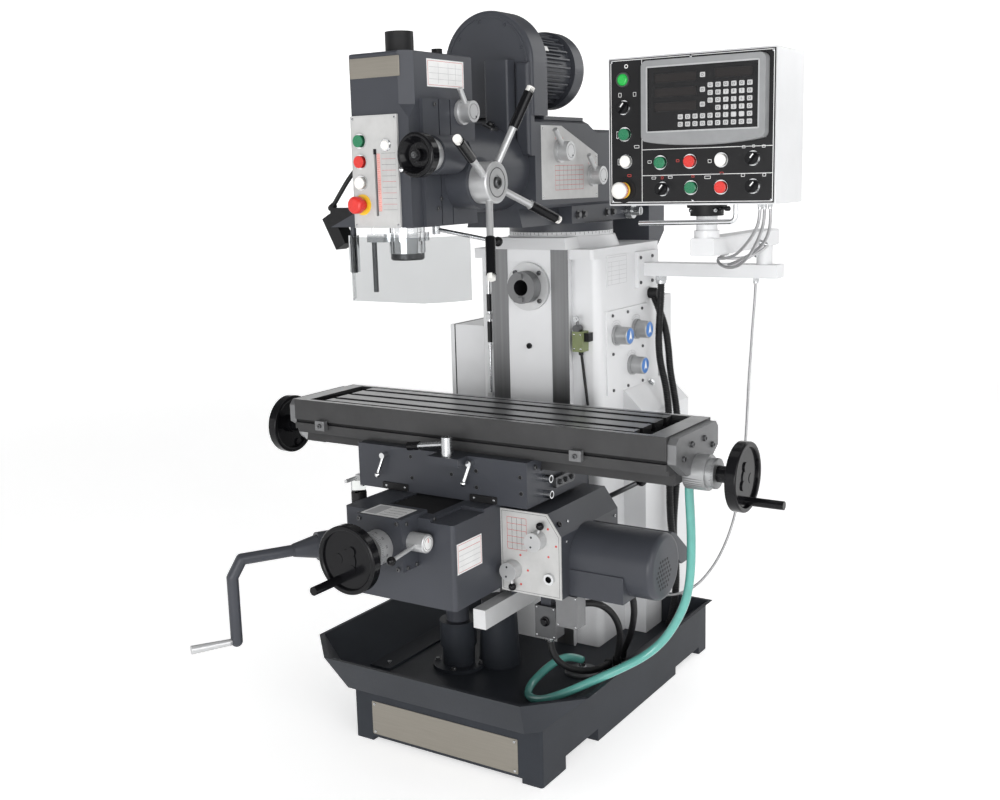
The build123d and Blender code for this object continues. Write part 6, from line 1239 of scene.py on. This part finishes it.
def saddle_details():
    holes = Piece("saddle_holes", "saddle")
    for at in SADDLE_HOLES:
        holes.hole(on_node("saddle", FRONT, SADDLE_Y, at), 6, DARK_STEEL)
    # Two black discs on the saddle's side: painted shade inside two holes.
    for at in ((-420, 780), (-418, 739)):
        holes.turned(on_node("saddle", RIGHT, 283, at), [(7, -0.5), (7, 0.25)], BLACK_MATT)
    holes.screw(on_node("saddle", RIGHT, SADDLE_SIDE_X, (-462, 816)), "cap", 6, DARK_STEEL)
    wipers = Piece("way_wipers", "saddle", "black_rubber")
    for left, right in ((93, 174), (-182, -100)):
        outline = rounded((left, right), (720, 739), 3)
        wipers.plate(on_face(FRONT, SADDLE_Y), outline, WIPER_THICK, BLACK_MATT, low=-0.5, edge=0.8)
        for x in (left + 14, right - 8):
            wipers.screw(on_face(FRONT, SADDLE_Y - WIPER_THICK, (x, 730)), "dome", 3.6, STEEL)
    # The manifold and its nuts: real fittings, made dark steel rather than bright as painted shade of the
    # recess they sit in.
    oil = Piece("oil_manifold", "saddle")
    outline = rounded((-376, -284), (744, 773), 3)
    oil.plate(on_face(RIGHT, SADDLE_SIDE_X), outline, OIL_PLATE_THICK, DARK_STEEL, low=-0.5, edge=1.5)
    nut = [(8, -0.5, 6), (8, 4, 6), (6, 4), (6, 7), (3.5, 8), (3.5, 9), (0, 9)]
    for y in (-360, -330, -300):
        oil.turned(on_face(RIGHT, SADDLE_SIDE_X + OIL_PLATE_THICK, (y, 758)), nut, DARK_STEEL)
    oil.ring(on_face(UP, 660.5, LUBRICATOR), 20.1, 21, 0, 32, BLACK_MATT)


def table_details():
    bolts = Piece("table_bracket_bolts", "table")
    for out, level in ((RIGHT, 642), (LEFT, -522)):
        for at in BRACKET_BOLTS:
            bolts.screw(on_node("table", out, level, at), "cap", 7.5, DARK_STEEL)
    for x in (-401, 390):
        bolts.screw(on_node("table", FRONT, -491, (x, 864)), "cap", 6, DARK_STEEL)
    # Dark strips along the slots' edges on the table top: painted shade.
    edges = Piece("slot_edges", "table", "black_plastic")
    for y in SLOT_ROWS:
        for side in (y - SLOT_EDGE, y + SLOT_EDGE):
            strip = stroke((-396, side), (516, side), 3)
            edges.plate(on_face(UP, TABLE_TOP_Z), strip, 0.35, BLACK_MATT, low=-0.3)
    scale = Piece("table_dial_scales", "table", "black_plastic")
    for out, level in ((RIGHT, 693.5), (LEFT, -573.5)):
        scale.ticks(point(out, level, TABLE_SCREW), out, 36, count=60, longs=5, lengths=(10, 6))


# Base, tray and sump
TRAY_SCREEN_THICK = 5
SUMP_COVER_TOP = 10
JACK_BOLT_RADIUS = 62


def base_details():
    plate = Piece("plinth_plate", "frame")
    outline = rounded((-239, 229), (21, 117), 3)
    plate.plate(on_face(FRONT, PLINTH_Y), outline, TRIM_THICK, CHAMPAGNE, low=-0.5, edge=0.5)
    for at in pairs((-230, 220), (109, 29)):
        plate.screw(on_face(FRONT, PLINTH_Y - TRIM_THICK, at), "dome", 4, STEEL)
    ledge = Piece("tray_screen", "frame")
    outline = rounded((-355, -236), (-442, -61), 6)
    ledge.plate(on_face(UP, TRAY_FLOOR_Z), outline, TRAY_SCREEN_THICK, SLATE_CAST_SHADED, low=-0.5, edge=1)
    ledge.screw(on_face(UP, TRAY_FLOOR_Z + TRAY_SCREEN_THICK, (-263, -408)), "cap", 6, STEEL)
    jack = Piece("jack_bolts", "frame")
    for turn in (20, 110, 200, 290):
        at = around(ELEVATING_SCREW, JACK_BOLT_RADIUS, turn)
        jack.screw(on_node("base_casting", UP, 185, at), "hex", 7, DARK_STEEL)
    clip = Piece("hose_clip", "knee")
    clip.ring(on_face(UP, 778, (606.3, -318)), 11.2, 12.6, 0, 10, CHROME, 32)


def tray_fittings():
    """The drain hole with painted shade in it, the sump cover with its elbow, and the elbows that the feed
    hoses end on.
    """
    drain = Piece("tray_drain", "frame")
    drain.hole(spot(seat("base_casting", (400, -337, 205), RIGHT, 120), RIGHT), 9, DARK_STEEL)
    cover = [(48, -0.5), (48, 4), (46, 6), (20, 6), (20, SUMP_COVER_TOP), (0, SUMP_COVER_TOP)]
    drain.turned(on_face(UP, TRAY_FLOOR_Z, TRAY_DRAIN), cover, DARK_STEEL, sides=40)
    stub = [(13, 0, 6), (13, 8, 6), (9, 9), (9, 22), (7, 26), (0, 27)]
    drain.turned(on_face(UP, TRAY_FLOOR_Z + SUMP_COVER_TOP, TRAY_DRAIN), stub, STEEL)
    for route in FEED_HOSES:
        x, y, z = route[-1]
        top = z - TRAY_FLOOR_Z
        elbow = [(16, -0.5), (16, 4), (11, 5), (11, top - 5), (12.5, top - 1), (11.5, top + 7), (7, top + 12),
                 (0, top + 13)]
        drain.turned(on_face(UP, TRAY_FLOOR_Z, (x, y)), elbow, BLACK_MATT)


# Studio
WORLD_LIGHT = 0.2
FLOOR_PROFILE = ((7.0, 0.0), (8.0, 0.15), (8.7, 0.6), (9.1, 1.4), (9.2, 3.6))
FLOOR_SIDES = 64
LIGHTS = (
    ("key", (5.0, -3.0, 3.0), (0, 0, 0.8), (3.6, 3.6), 124),
    ("fill", (1.5, -6.4, 1.0), (0, 0, 0.8), (4.0, 2.0), 165),
    ("top", (0.2, 0.2, 4.6), (0, 0, 0), (3.4, 3.4), 26),
    ("rim", (1.5, 3.4, 3.0), (0, 0, 1.0), (2.0, 2.0), 25),
)


def area_light(name, at, aim, size, power):
    data = bpy.data.lights.new(name, "AREA")
    data.shape = "RECTANGLE"
    data.size, data.size_y = size
    data.energy = power
    light = link(name, data)
    light.location = at
    light.rotation_euler = (Vector(aim) - Vector(at)).to_track_quat("-Z", "Y").to_euler()


def make_stage():
    """A round pale floor that curves up into a low wall, under soft studio light."""
    points = [(0, 0, 0)]
    for radius, height in FLOOR_PROFILE:
        points += [(*around((0, 0), radius, 360 * k / FLOOR_SIDES), height) for k in range(FLOOR_SIDES)]
    loops = []
    for k in range(FLOOR_SIDES):
        t = (k + 1) % FLOOR_SIDES
        loops.append((0, 1 + k, 1 + t))
        for low in steps(1, FLOOR_SIDES, len(FLOOR_PROFILE) - 1):
            high = low + FLOOR_SIDES
            loops.append((low + k, high + k, high + t, low + t))
    smooth_object("studio_floor", points, loops, PAPER)
    world = bpy.data.worlds.new("studio")
    world.use_nodes = True
    set_inputs(world.node_tree.nodes["Background"], Color=(1, 1, 1, 1), Strength=WORLD_LIGHT)
    bpy.context.scene.world = world
    for light in LIGHTS:
        area_light(*light)


bpy.context.scene.view_settings.view_transform = "Standard"
make_camera()
make_cords()
for step in (paint_frame, paint_panel, paint_head, paint_knee, paint_table, column_details, knob_details,
             switch_details, cabinet_details, cable_fittings, fascia_details, panel_fittings, readout_case,
             readout_front, head_plate_details, head_side_details, head_controls, ram_details, motor_details,
             knee_plates, knee_dials, feed_plate_details, gearbox_details, saddle_details, table_details,
             base_details, tray_fittings):
    step()
for piece in Piece.every:
    piece.done()
make_stage()
